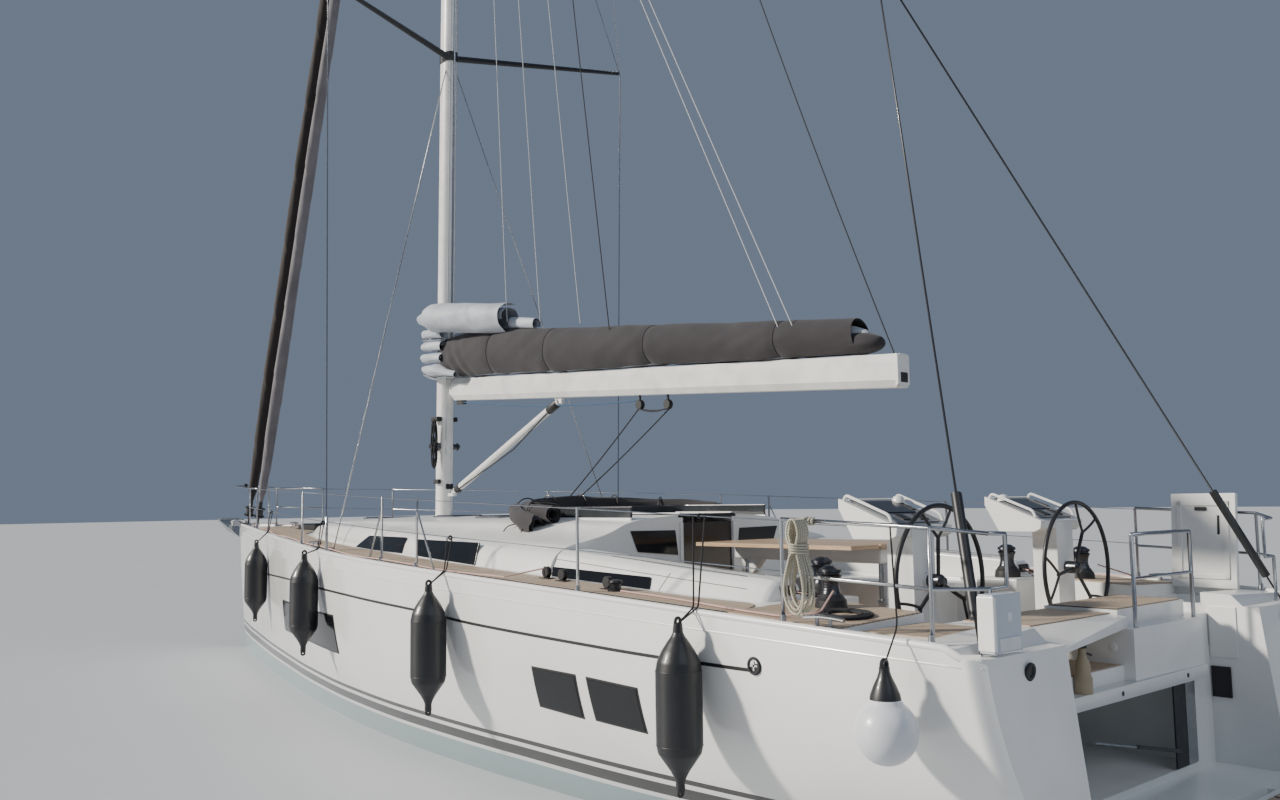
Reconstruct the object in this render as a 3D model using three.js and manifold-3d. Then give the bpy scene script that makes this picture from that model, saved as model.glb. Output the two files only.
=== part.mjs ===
// Sailing yacht afloat: decked hull with fin keel, open stern, twin wheels and a furled sloop rig.
// Millimetres. +X towards the bow, +Y to port, +Z up.
// The origin lies on the waterline, on the centreline, at the middle of the hull's length.
import * as THREE from 'three';
import { mergeVertices } from 'three/addons/utils/BufferGeometryUtils.js';
import Module from 'manifold-3d';

const wasm = await Module();
wasm.setup();

// Driving dimensions
const hullLength = 15960;
const sternDeckZ = 1540;
const bowDeckZ = 2050;
const sheerBulge = 220;
const deckCamber = 60;
const stemRake = 320;
const transomRake = 195;
const gap = 0.3;

const soleZ = 1200;
const cockpit = { forwardX: -3450, aftX: -7420, halfWidth: 1450 };
const sternWell = { floorZ: 330, halfWidth: 1450 };
const garage = { forwardX: -5900, halfWidth: 1130, floorZ: 380, ceilingZ: 1000 };

const railHeight = 632;
const railInset = 55;
const railRadius = 12.5;
const wireRadius = 4;

const mast = { x: 1380, rake: 0.015, halfWidth: 95, halfLength: 140, topZ: 24300 };
const boom = { pinX: 1100, footZ: 3680, slope: 0.0626, depth: 280, width: 160, aftX: -5740 };
const lowerSpreaderZ = 8250;
const upperSpreaderZ = 15200;

const wheel = { x: -6650, y: 950, z: 1790, radius: 515, rimRadius: 17, bossX: -6560 };
const rudderStock = { x: -6550, radius: 55, topZ: 180 };
const keelDepth = 2780;

// Materials
function finish(color, roughness, metalness = 0) {
  return new THREE.MeshStandardMaterial({ color, roughness, metalness });
}
const gelcoat = finish(0xf1f1ee, 0.25);
const moulding = finish(0xe6e6e2, 0.4);
const nonSkid = finish(0xd5d6d4, 0.7);
const antifouling = finish(0x24343c, 0.7);
const castIron = finish(0x3a3f42, 0.6, 0.3);
const teak = finish(0xa98d72, 0.7);
const stainless = finish(0xc4c7c9, 0.2, 1);
const galvanised = finish(0xaeb2b4, 0.45, 0.9);
const sparPaint = finish(0xeeeeea, 0.3);
const blackAlloy = finish(0x2b2d30, 0.45, 0.4);
const blackRubber = finish(0x141517, 0.4);
const canvas = finish(0x34353a, 0.9);
const sailcloth = finish(0xb9bcc0, 0.8);
const smokedGlass = finish(0x14171b, 0.08);
const clearScreen = finish(0x9aa3a8, 0.1);
const fenderVinyl = finish(0x15171a, 0.3);
const buoyVinyl = finish(0xe9eaec, 0.3);
const bronze = finish(0xb08b4f, 0.35, 1);

const yacht = new THREE.Group();

// Booleans: closed geometry in, closed geometry out
function toSolid(geometry) {
  const bare = geometry.clone();
  bare.deleteAttribute('normal');
  bare.deleteAttribute('uv');
  const merged = mergeVertices(bare, 1e-3);
  return new wasm.Manifold(new wasm.Mesh({
    numProp: 3,
    vertProperties: Float32Array.from(merged.attributes.position.array),
    triVerts: Uint32Array.from(merged.index.array),
  }));
}

function join(...geometries) {
  return geometries.map(toSolid).reduce((whole, piece) => whole.add(piece));
}

function cut(solid, ...geometries) {
  return geometries.map(toSolid).reduce((rest, piece) => rest.subtract(piece), solid);
}

function toGeometry(solid) {
  const { vertProperties, triVerts } = solid.getMesh();
  const geometry = new THREE.BufferGeometry();
  geometry.setAttribute('position', new THREE.BufferAttribute(vertProperties, 3));
  geometry.setIndex(new THREE.BufferAttribute(triVerts, 1));
  geometry.computeVertexNormals();
  return geometry;
}

function add(name, shape, material) {
  const geometry = shape.isBufferGeometry ? shape : toGeometry(shape);
  const mesh = new THREE.Mesh(geometry, material);
  mesh.name = name;
  yacht.add(mesh);
  return mesh;
}

// Basic shapes
function box(x0, x1, y0, y1, z0, z1) {
  const geometry = new THREE.BoxGeometry(Math.abs(x1 - x0), Math.abs(y1 - y0), Math.abs(z1 - z0));
  return geometry.translate((x0 + x1) / 2, (y0 + y1) / 2, (z0 + z1) / 2);
}

function rod(from, to, radius, sides = 6, endRadius = radius) {
  const start = new THREE.Vector3(...from);
  const end = new THREE.Vector3(...to);
  const axis = end.clone().sub(start);
  const geometry = new THREE.CylinderGeometry(endRadius, radius, axis.length(), sides);
  const turn = new THREE.Quaternion().setFromUnitVectors(new THREE.Vector3(0, 1, 0), axis.normalize());
  return geometry.applyQuaternion(turn).translate(...start.add(end).multiplyScalar(0.5).toArray());
}

function ball(centre, radius) {
  return new THREE.IcosahedronGeometry(radius, 1).translate(...centre);
}

// A rail of straight runs with a ball of the same radius in each corner
function rail(points, radius = railRadius, sides = 6) {
  const runs = points.slice(1).map((point, i) => rod(points[i], point, radius, sides));
  const corners = points.slice(1, -1).map((point) => new THREE.IcosahedronGeometry(radius, 0)
    .translate(...point));
  return [...runs, ...corners];
}

// A closed body through rings of equal length, capped at both ends
function loft(rings) {
  const count = rings[0].length;
  const positions = rings.flat(2);
  const faces = [];
  for (let r = 0; r < rings.length - 1; r += 1) {
    for (let i = 0; i < count; i += 1) {
      const a = r * count + i;
      const b = r * count + ((i + 1) % count);
      faces.push(a, b, a + count, b, b + count, a + count);
    }
  }
  const capCentre = (ring) => [0, 1, 2].map((k) => ring.reduce((sum, p) => sum + p[k], 0) / count);
  const lastStart = (rings.length - 1) * count;
  const firstCentre = rings.length * count;
  positions.push(...capCentre(rings[0]), ...capCentre(rings.at(-1)));
  for (let i = 0; i < count; i += 1) {
    const next = (i + 1) % count;
    faces.push(firstCentre, next, i);
    faces.push(firstCentre + 1, lastStart + i, lastStart + next);
  }
  const geometry = new THREE.BufferGeometry();
  geometry.setAttribute('position', new THREE.Float32BufferAttribute(positions, 3));
  geometry.setIndex(signedVolume(positions, faces) < 0 ? faces.reverse() : faces);
  return geometry;
}

function signedVolume(positions, faces) {
  const corner = (i) => new THREE.Vector3(...positions.slice(3 * i, 3 * i + 3));
  let volume = 0;
  for (let f = 0; f < faces.length; f += 3) {
    const [a, b, c] = [corner(faces[f]), corner(faces[f + 1]), corner(faces[f + 2])];
    volume += a.dot(b.cross(c));
  }
  return volume;
}

// A side profile of [x, z] points, extruded from y0 to y1
function slab(profile, y0, y1) {
  const outline = new THREE.Shape(profile.map(([x, z]) => new THREE.Vector2(x, z)));
  const depth = Math.abs(y1 - y0);
  return new THREE.ExtrudeGeometry(outline, { depth, bevelEnabled: false })
    .rotateX(Math.PI / 2).translate(0, Math.max(y0, y1), 0);
}

function mirrored(shape) {
  const solid = shape.isBufferGeometry ? toSolid(shape) : shape;
  return solid.mirror([0, 1, 0]);
}

// Adds a port piece and its mirror image to starboard
function addPair(name, shape, material) {
  add(`${name}_port`, shape, material);
  add(`${name}_starboard`, mirrored(shape), material);
}

// Knuckles of a hinge along X, in turn on the moving leaf and on what holds it.
// side is the moving leaf's side in Y; webUp tells whether the webs lie above the axis.
function hingeKnuckles({ x0, x1, y, z, radius, reach, side, webUp }) {
  const count = 5;
  const width = (x1 - x0) / count;
  const leaves = { moving: [], fixed: [] };
  for (let i = 0; i < count; i += 1) {
    const start = x0 + i * width + gap / 2;
    const end = start + width - gap;
    const webSide = i % 2 ? side : -side;
    const webZ = webUp ? [z, z + radius] : [z - radius, z];
    leaves[i % 2 ? 'moving' : 'fixed'].push(
      rod([start, y, z], [end, y, z], radius, 8),
      box(start, end, y, y + webSide * reach, ...webZ),
    );
  }
  return leaves;
}

// Linear reading of one column of a table, by x
function lookUp(table, column, x) {
  const rows = [...table].sort((a, b) => a.x - b.x);
  const next = rows.findIndex((row) => row.x >= x);
  if (next === 0) return rows[0][column];
  if (next < 0) return rows.at(-1)[column];
  const [a, b] = [rows[next - 1], rows[next]];
  return a[column] + (b[column] - a[column]) * (x - a.x) / (b.x - a.x);
}

// Hull
const hullStations = [
  { x: -7980, halfBeam: 2290, fullness: 0.50, keelZ: 60 },
  { x: -7890, halfBeam: 2368, fullness: 0.50, keelZ: 50 },
  { x: -6400, halfBeam: 2440, fullness: 0.50, keelZ: -120 },
  { x: -4800, halfBeam: 2470, fullness: 0.48, keelZ: -320 },
  { x: -3200, halfBeam: 2475, fullness: 0.55, keelZ: -480 },
  { x: -1600, halfBeam: 2410, fullness: 0.57, keelZ: -570 },
  { x: 0, halfBeam: 2210, fullness: 0.56, keelZ: -600 },
  { x: 1600, halfBeam: 1860, fullness: 0.50, keelZ: -580 },
  { x: 3200, halfBeam: 1425, fullness: 0.42, keelZ: -500 },
  { x: 4800, halfBeam: 960, fullness: 0.33, keelZ: -370 },
  { x: 6200, halfBeam: 545, fullness: 0.32, keelZ: -230 },
  { x: 7200, halfBeam: 250, fullness: 0.38, keelZ: -120 },
  { x: 7700, halfBeam: 105, fullness: 0.42, keelZ: -60 },
  { x: 7980, halfBeam: 22, fullness: 0.50, keelZ: -20 },
];

function deckEdgeZ(x) {
  const t = x / hullLength + 0.5;
  return sternDeckZ + (bowDeckZ - sternDeckZ) * t + sheerBulge * t * (1 - t);
}

function halfBeam(x) {
  return lookUp(hullStations, 'halfBeam', x);
}

// Height of the cambered deck at a point
function deckZ(x, y) {
  const beam = halfBeam(x);
  const offCentre = Math.min(1, Math.abs(y) / beam);
  const camber = deckCamber * beam / 2475;
  const rise = offCentre > 0.5 ? 1.5 * (1 - offCentre) : 1 - 0.5 * offCentre;
  return deckEdgeZ(x) + camber * rise;
}

// Half section: y = b sin(a)^fullness, z rises with 1 - cos(a) from keel line to deck edge
function hullRing({ x, halfBeam: beam, fullness, keelZ }) {
  const steps = 8;
  const bowShare = THREE.MathUtils.clamp((x - 6200) / 1780, 0, 1) ** 2;
  const sternShare = THREE.MathUtils.clamp((-6400 - x) / 1580, 0, 1);
  const deckX = x + transomRake * sternShare;
  const edgeZ = deckEdgeZ(deckX);
  const place = (y, z) => {
    const below = Math.max(0, (edgeZ - z) / edgeZ);
    const shift = transomRake * sternShare * (1 - below) - stemRake * bowShare * below ** 1.5;
    return [x + shift, y, z];
  };
  const side = [];
  for (let i = 1; i <= steps; i += 1) {
    const a = (i / steps) * Math.PI / 2;
    side.push([beam * Math.sin(a) ** fullness, keelZ + (edgeZ - keelZ) * (1 - Math.cos(a))]);
  }
  side.push([beam / 2, deckZ(deckX, beam / 2)]);
  const port = side.map(([y, z]) => place(y, z));
  const starboard = side.map(([y, z]) => place(-y, z)).reverse();
  return [place(0, keelZ), ...port, place(0, deckZ(deckX, 0)), ...starboard];
}

// The deck steps down at the transom
const above = 2600;
const quarterStep = { x: -7680, z: 1510, slopeX: -7570, slopeZ: 1620 };
const hullBlock = toSolid(loft(hullStations.map(hullRing))).subtract(toSolid(slab([
  [-8400, quarterStep.z], [quarterStep.x, quarterStep.z], [quarterStep.slopeX, quarterStep.slopeZ],
  [-8400, quarterStep.slopeZ],
], -above, above)));
const deckCutter = hullBlock.translate([0, 0, gap]);

// Lockers in the quarters, each under a lid hinged at its outboard edge
const quarterLocker = { x0: -7335, x1: -6885, y0: 1500, y1: 2190, floorZ: 1150 };
const lockerLid = { x0: -7370, x1: -6850, y0: 1455, y1: 2243, thickness: 50, raised: 95 };
const lidZ = deckEdgeZ(-7500) - 45;
const lidTopZ = lidZ + lockerLid.thickness;
const lidHinge = { y: 2250, radius: 5, reach: 9, side: -1, webUp: false };
const lidKnuckles = [[-7325, -7175], [-7045, -6895]].map(([x0, x1]) => (
  hingeKnuckles({ ...lidHinge, x0, x1, z: lidTopZ })));

// Companionway: a stair pocket with a washboard that drops into a slot
const stairs = { forwardX: -2600, halfWidth: 330, floorZ: 900, sillZ: 1450 };
const washboard = { x0: -3440, x1: -3415, halfWidth: 345, height: 730, drop: 690, play: 0.5 };

const sideCuts = [1, -1].map((side) => box(
  quarterLocker.x0, quarterLocker.x1, side * quarterLocker.y0, side * quarterLocker.y1,
  quarterLocker.floorZ, above,
));
const lidSeats = [1, -1].map((side) => box(
  lockerLid.x0 - 6, lockerLid.x1 + 6, side * (lockerLid.y0 - 10), side * (lidHinge.y + 6),
  lidZ - gap, above,
));
const rudderBore = rod(
  [rudderStock.x, 0, -400], [rudderStock.x, 0, rudderStock.topZ], rudderStock.radius + 2, 16,
);
const stairPocket = box(
  cockpit.forwardX - 1, stairs.forwardX, -stairs.halfWidth, stairs.halfWidth, stairs.sillZ, above,
);
const stairWell = box(
  washboard.x1 + 60, stairs.forwardX, -stairs.halfWidth, stairs.halfWidth, stairs.floorZ, above,
);
const washboardSlot = box(
  washboard.x0 - washboard.play, washboard.x1 + washboard.play,
  -washboard.halfWidth - 6, washboard.halfWidth + 6, stairs.sillZ - washboard.drop - 40, above,
);
const sternBeam = { aftX: -7520, y0: -1165, z0: 1010, z1: 1100 };
const bridgeSeat = {
  x0: -7350, x1: -6830, y0: -65, y1: 1436, z0: 1450.3, z1: 1540, tipX: -7765, tipZ: 1478, innerTipX: -7440,
};
const seatHinge = { x0: -7600, x1: -7440, y: 1443, depth: 36 };
const seatKnuckles = hingeKnuckles({
  x0: seatHinge.x0, x1: seatHinge.x1, y: seatHinge.y, z: bridgeSeat.z1, radius: 5, reach: 10, side: -1,
  webUp: false,
});

// The bathing platform turns about pins in two lugs on the transom
const platform = { hingeX: -8012, hingeZ: 290, length: 1060, halfWidth: 1385, thickness: 70, pinRadius: 10 };
const platformLug = { y: 1000, halfWidth: 25, radius: 22, play: 6 };
const lugSpans = [1, -1].map((side) => [
  side * platformLug.y - platformLug.halfWidth, side * platformLug.y + platformLug.halfWidth,
]);
const transomLugs = lugSpans.flatMap(([y0, y1]) => [
  box(-7900, platform.hingeX, y0, y1, platform.hingeZ - platformLug.radius,
    platform.hingeZ + platformLug.radius),
  rod([platform.hingeX, y0, platform.hingeZ], [platform.hingeX, y1, platform.hingeZ],
    platformLug.radius, 16),
]);
const platformBore = rod(
  [platform.hingeX, -1200, platform.hingeZ], [platform.hingeX, 1200, platform.hingeZ],
  platform.pinRadius + 0.8, 16,
);
const hullBody = cut(
  hullBlock,
  box(cockpit.aftX - 1, cockpit.forwardX, -cockpit.halfWidth, cockpit.halfWidth, soleZ, above),
  box(-8400, cockpit.aftX, -sternWell.halfWidth, sternWell.halfWidth, sternWell.floorZ, above),
  box(
    cockpit.aftX - 1, garage.forwardX, -garage.halfWidth, garage.halfWidth,
    garage.floorZ, garage.ceilingZ,
  ),
  ...sideCuts, ...lidSeats, stairPocket, stairWell, washboardSlot, rudderBore,
);
const fixedLidKnuckles = join(...lidKnuckles.flatMap(({ fixed }) => fixed));
const hullSolid = [
  join(box(
    sternBeam.aftX, cockpit.aftX + 5, sternBeam.y0, sternWell.halfWidth + 5,
    sternBeam.z0, sternBeam.z1,
  )),
  join(...seatKnuckles.fixed),
  fixedLidKnuckles,
  fixedLidKnuckles.mirror([0, 1, 0]),
  join(...transomLugs).subtract(toSolid(platformBore)),
].reduce((whole, piece) => whole.add(piece), hullBody);
add('hull', hullSolid, gelcoat);

// Coachroof: foot on the deck, shoulder of the side, edge of the top, centreline
const roofStations = [
  { x: 4400, footY: 330, sideY: 250, sideZ: 2050, topY: 160, topZ: 2060, midZ: 2062 },
  { x: 3600, footY: 800, sideY: 660, sideZ: 2080, topY: 480, topZ: 2125, midZ: 2140 },
  { x: 2300, footY: 1230, sideY: 1130, sideZ: 2100, topY: 940, topZ: 2165, midZ: 2190 },
  { x: 1200, footY: 1480, sideY: 1380, sideZ: 2100, topY: 1150, topZ: 2180, midZ: 2215 },
  { x: 350, footY: 1640, sideY: 1540, sideZ: 2080, topY: 1250, topZ: 2185, midZ: 2225 },
  { x: -1250, footY: 1840, sideY: 1740, sideZ: 2020, topY: 1250, topZ: 2190, midZ: 2235 },
  { x: -2300, footY: 1910, sideY: 1800, sideZ: 1990, topY: 1080, topZ: 2190, midZ: 2240 },
  { x: -3450, footY: 1950, sideY: 1820, sideZ: 1965, topY: 980, topZ: 2185, midZ: 2240 },
];
const footSink = 90;

function roofRing(row) {
  const half = [
    [row.footY, deckEdgeZ(row.x) - footSink],
    [row.sideY, row.sideZ],
    [row.topY + (row.sideY - row.topY) * 0.35, row.sideZ + (row.topZ - row.sideZ) * 0.45],
    [row.topY, row.topZ],
    [row.topY * 0.5, row.topZ + (row.midZ - row.topZ) * 0.75],
  ];
  const port = half.map(([y, z]) => [row.x, y, z]);
  const starboard = half.map(([y, z]) => [row.x, -y, z]).reverse();
  return [...port, [row.x, 0, row.midZ], ...starboard];
}

const roofBlock = toSolid(loft(roofStations.map(roofRing))).subtract(deckCutter);
const hatchRecess = { x0: -3460, x1: -1850, halfWidth: 390, z: 2205 };
const roofSolid = cut(
  roofBlock,
  stairPocket,
  washboardSlot,
  box(hatchRecess.x0, hatchRecess.x1, -hatchRecess.halfWidth, hatchRecess.halfWidth, hatchRecess.z, above),
);
add('coachroof', roofSolid, moulding);

// Windows in the coachroof's sides: x along the foot, x along the head, share of the side's height
const roofWindows = [
  { name: 'coachroof_window_forward', footX: [600, -560], headX: [330, -540], share: [0.30, 0.90] },
  { name: 'coachroof_window_aft', footX: [-1000, -2080], headX: [-1040, -2140], share: [0.30, 0.92] },
];
const paneProud = 6;

// Height of a point on the coachroof's side, by its share of the way from deck to shoulder
function roofSideZ(x, share) {
  const footZ = deckZ(x, lookUp(roofStations, 'footY', x));
  return footZ + (lookUp(roofStations, 'sideZ', x) - footZ) * share;
}

for (const { name, footX, headX, share } of roofWindows) {
  const outline = [
    ...footX.map((x) => [x, roofSideZ(x, share[0])]),
    ...headX.map((x) => [x, roofSideZ(x, share[1])]).reverse(),
  ];
  for (const [suffix, side] of [['port', 1], ['starboard', -1]]) {
    const pane = roofBlock.translate([0, side * paneProud, 0])
      .intersect(toSolid(slab(outline, side * 1300, side * 2100)))
      .subtract(roofBlock.translate([0, side * gap, 0]));
    add(`${name}_${suffix}`, pane, smokedGlass);
  }
}

// Coamings run aft from the coachroof beside the cockpit
const coamingStations = [
  { x: -3450.3, footY: 1950, sideY: 1800, z: 1960 },
  { x: -4400, footY: 1960, sideY: 1790, z: 1895 },
  { x: -5100, footY: 1955, sideY: 1780, z: 1840 },
  { x: -5640, footY: 1890, sideY: 1720, z: 1812 },
  { x: -5750, footY: 1845, sideY: 1700, z: 1745 },
  { x: -5820, footY: 1790, sideY: 1650, z: 1680 },
];
const coamingInnerY = cockpit.halfWidth + 10;

function coamingRing({ x, footY, sideY, z }) {
  const footZ = deckEdgeZ(x) - footSink;
  return [
    [x, coamingInnerY, footZ], [x, coamingInnerY, z - 15], [x, coamingInnerY + 30, z],
    [x, sideY - 60, z], [x, sideY, z - 40], [x, footY, footZ],
  ];
}

addPair('coaming', toSolid(loft(coamingStations.map(coamingRing))).subtract(deckCutter), moulding);

// Cockpit seats: a bench on each side, with a pedestal for a winch at its aft end
const bench = { x0: -5450, x1: -3470, y0: 760, z: 1600, backZ: 1640 };
const pedestal = { x0: -6050, x1: -5660, y0: 1070, z: 1667, stepZ: 1560 };
addPair('cockpit_bench', join(
  box(bench.x0, bench.x1, bench.y0, cockpit.halfWidth - gap, soleZ + gap, bench.z),
  box(bench.x0 + 120, bench.x1, cockpit.halfWidth - 90, cockpit.halfWidth - gap, soleZ + 50, bench.backZ),
  box(pedestal.x0, pedestal.x1, pedestal.y0, cockpit.halfWidth - gap, soleZ + gap, pedestal.z),
  box(pedestal.x1 - 1, bench.x0 + 1, pedestal.y0, cockpit.halfWidth - gap, soleZ + gap, pedestal.stepZ),
), nonSkid);

// Cockpit table: fixed box top on two legs, with a drop leaf on each side
const table = { x0: -5600, x1: -3850, halfWidth: 190, z: 1990, thickness: 32, leafWidth: 370 };
const legX = [-5480, -3990];
const leafGap = 14;
const leafHinge = { y: table.halfWidth + leafGap / 2, z: table.z - table.thickness };
const leafKnuckles = [[-5450, -5300], [-4150, -4000]].map(([x0, x1]) => (
  hingeKnuckles({ ...leafHinge, x0, x1, radius: 5, reach: 10, side: 1, webUp: true })));
const fixedLeafKnuckles = join(...leafKnuckles.flatMap(({ fixed }) => fixed));
add('cockpit_table', join(
  box(table.x0, table.x1, -table.halfWidth, table.halfWidth, table.z - table.thickness, table.z),
  box(table.x0 + 60, table.x1 - 60, -120, 120, table.z - 160, table.z - table.thickness),
  ...legX.map((x) => rod([x, 0, soleZ + gap], [x, 0, table.z - 100], 42, 12)),
  ...legX.map((x) => rod([x, 0, soleZ + gap], [x, 0, soleZ + 12], 95, 12)),
).add(fixedLeafKnuckles).add(fixedLeafKnuckles.mirror([0, 1, 0])), teak);
addPair('table_leaf', join(
  box(
    table.x0 + 10, table.x1 - 10, table.halfWidth + leafGap, table.halfWidth + table.leafWidth,
    table.z - table.thickness, table.z,
  ), ...leafKnuckles.flatMap(({ moving }) => moving),
), teak);

// Helm consoles: a column with a tilted instrument panel, a shaft boss towards the wheel
const panel = { forwardX: -6050, forwardZ: 2360, aftX: -6540, aftZ: 2165, halfWidth: 330 };
const column = { x0: -6540, x1: -6330, y0: 850, y1: 1110, topZ: 2150 };
const consoleBody = join(
  box(column.x0, column.x1, column.y0, column.y1, soleZ + gap, column.topZ),
  slab([
    [panel.forwardX, panel.forwardZ], [panel.aftX, panel.aftZ],
    [panel.aftX + 10, panel.aftZ - 60], [-6480, 2080], [-6170, 2080], [panel.forwardX, 2290],
  ], wheel.y - panel.halfWidth, wheel.y + panel.halfWidth),
  rod([-6400, wheel.y, wheel.z], [wheel.bossX, wheel.y, wheel.z], 60, 12),
);
addPair('helm_console', consoleBody, moulding);

// Steering wheels: rim, hub and three spokes that split in two
const spokeFork = { radius: 315, spread: 20 };
function steeringWheel(firstSpoke) {
  const centre = [wheel.x, wheel.y, wheel.z];
  const rimRadius = wheel.radius - wheel.rimRadius;
  const rim = new THREE.TorusGeometry(rimRadius, wheel.rimRadius, 6, 30).rotateY(Math.PI / 2);
  const hub = rod([wheel.bossX - gap, wheel.y, wheel.z], [wheel.x - 25, wheel.y, wheel.z], 48, 12);
  const polar = (radius, degrees) => {
    const a = THREE.MathUtils.degToRad(degrees);
    return [wheel.x, wheel.y + radius * Math.cos(a), wheel.z + radius * Math.sin(a)];
  };
  const spokes = [0, 120, 240].map((turn) => firstSpoke + turn).flatMap((degrees) => [
    rod(polar(20, degrees), polar(spokeFork.radius + 10, degrees), 15, 6),
    ...[-1, 1].map((side) => rod(
      polar(spokeFork.radius, degrees), polar(rimRadius, degrees + side * spokeFork.spread), 11, 6,
    )),
  ]);
  return join(rim.translate(...centre), hub, ...spokes);
}
add('steering_wheel_port', steeringWheel(87), blackAlloy);
add('steering_wheel_starboard', mirrored(steeringWheel(68)), blackAlloy);

// A winch on each pedestal
const winchProfile = [
  [0, 0], [108, 0], [108, 60], [70, 95], [58, 170], [76, 235], [76, 262], [40, 280], [0, 280],
];
const winchPlace = [-5860, 1250, pedestal.z + gap];
addPair('winch', new THREE.LatheGeometry(winchProfile.map(([r, h]) => new THREE.Vector2(r, h)), 16)
  .rotateX(Math.PI / 2).translate(...winchPlace), stainless);

// Companionway: sliding hatch in its recess and the washboard
const hatch = { x0: -3455, x1: -2640, halfWidth: 375, thickness: 34 };
add('companionway_hatch', box(
  hatch.x0, hatch.x1, -hatch.halfWidth, hatch.halfWidth,
  hatchRecess.z + gap, hatchRecess.z + hatch.thickness,
), smokedGlass);
add('companionway_washboard', box(
  washboard.x0, washboard.x1, -washboard.halfWidth, washboard.halfWidth,
  stairs.sillZ - 20, stairs.sillZ - 20 + washboard.height,
), smokedGlass);

// Low clear screen round the hatch, standing on the coachroof
const screen = { frontX: -1950, aftX: -3380, halfWidth: 900, z: 2400, thickness: 10, lean: 150 };
function screenRing(inset, z) {
  const halfWidth = screen.halfWidth - inset;
  const frontX = screen.frontX - inset - (z - 2150) / 250 * screen.lean;
  return [
    [screen.aftX, halfWidth, z], [frontX - 120, halfWidth, z], [frontX, halfWidth - 160, z],
    [frontX, -halfWidth + 160, z], [frontX - 120, -halfWidth, z], [screen.aftX, -halfWidth, z],
  ];
}
const outerScreen = toSolid(loft([screenRing(0, 2150), screenRing(0, screen.z)]));
const innerScreen = toSolid(loft([screenRing(screen.thickness, 2100), screenRing(screen.thickness, 2450)]));
const openBack = toSolid(box(screen.aftX - 10, screen.aftX + 60, -1000, 1000, 2000, 2500));
const screenSolid = outerScreen.subtract(innerScreen).subtract(openBack)
  .subtract(roofSolid.translate([0, 0, gap]));
add('windscreen', screenSolid, clearScreen);

// Folded sprayhood: a soft bundle in an arch forward of the screen
const hoodPath = new THREE.CatmullRomCurve3([
  [-2500, 1130, 2240], [-2100, 1120, 2260], [-1650, 850, 2275], [-1450, 0, 2300],
  [-1650, -850, 2275], [-2100, -1120, 2260], [-2500, -1130, 2240],
].map((p) => new THREE.Vector3(...p)));
function roundSection(radiusY, radiusZ, sides) {
  const outline = new THREE.Shape();
  for (let i = 0; i < sides; i += 1) {
    const a = (i / sides) * 2 * Math.PI;
    outline[i ? 'lineTo' : 'moveTo'](radiusY * Math.cos(a), radiusZ * Math.sin(a));
  }
  return outline;
}
const hoodBundle = new THREE.ExtrudeGeometry(roundSection(105, 95, 8), {
  steps: 24, bevelEnabled: false, extrudePath: hoodPath,
});
add('folded_sprayhood', toSolid(hoodBundle)
  .subtract(roofSolid.translate([0, 0, gap]))
  .subtract(outerScreen.translate([gap, 0, 0])), canvas);

// Stern: locker with a seat, and the bridging seat over the way through
const aftLocker = {
  aftX: -7500, forwardX: -6830, y0: -1440, boxY: -1150, y1: -30, ledgeZ: 1450,
  seatY: -75, seatAftX: -7370, seatZ: 1565,
};
add('aft_locker', join(
  box(aftLocker.forwardX, cockpit.aftX + 1, aftLocker.y0, aftLocker.y1, soleZ + gap, aftLocker.ledgeZ),
  box(cockpit.aftX + 2, aftLocker.aftX, aftLocker.boxY, aftLocker.y1, sternBeam.z1 + gap, aftLocker.ledgeZ),
  box(
    aftLocker.forwardX, aftLocker.seatAftX, aftLocker.boxY, aftLocker.seatY,
    aftLocker.ledgeZ - 1, aftLocker.seatZ,
  ),
).subtract(hullSolid.translate([0, 0, gap])), moulding);
const seatTrimmer = new THREE.Shape([
  [bridgeSeat.innerTipX, bridgeSeat.y0 - 1], [bridgeSeat.tipX, bridgeSeat.y1 + 1],
  [bridgeSeat.tipX - 100, bridgeSeat.y1 + 1], [bridgeSeat.tipX - 100, bridgeSeat.y0 - 1],
].map(([x, y]) => new THREE.Vector2(x, y)));
const seatBoard = cut(
  join(slab([
    [bridgeSeat.x1, bridgeSeat.z0], [bridgeSeat.tipX, bridgeSeat.z0], [bridgeSeat.tipX, bridgeSeat.tipZ],
    [bridgeSeat.x0, bridgeSeat.z1], [bridgeSeat.x1, bridgeSeat.z1],
  ], bridgeSeat.y0, bridgeSeat.y1)),
  new THREE.ExtrudeGeometry(seatTrimmer, { depth: above, bevelEnabled: false }),
);
add('bridge_seat', seatBoard.add(join(
  box(seatHinge.x0, seatHinge.x1, bridgeSeat.y1 - seatHinge.depth, bridgeSeat.y1, bridgeSeat.z0,
    bridgeSeat.z1),
  ...seatKnuckles.moving,
)), teak);

// Quarter locker lids, hinged along their outboard top edges: closed to port, raised to starboard
const lidShape = join(
  box(lockerLid.x0, lockerLid.x1, lockerLid.y0, lockerLid.y1, lidZ, lidTopZ),
  ...lidKnuckles.flatMap(({ moving }) => moving),
);
add('quarter_lid_port', lidShape, moulding);
const raisedLid = add(
  'quarter_lid_starboard', mirrored(lidShape.translate([0, -lidHinge.y, -lidTopZ])), moulding,
);
raisedLid.rotation.x = THREE.MathUtils.degToRad(lockerLid.raised);
raisedLid.position.set(0, -lidHinge.y, lidTopZ);

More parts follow.
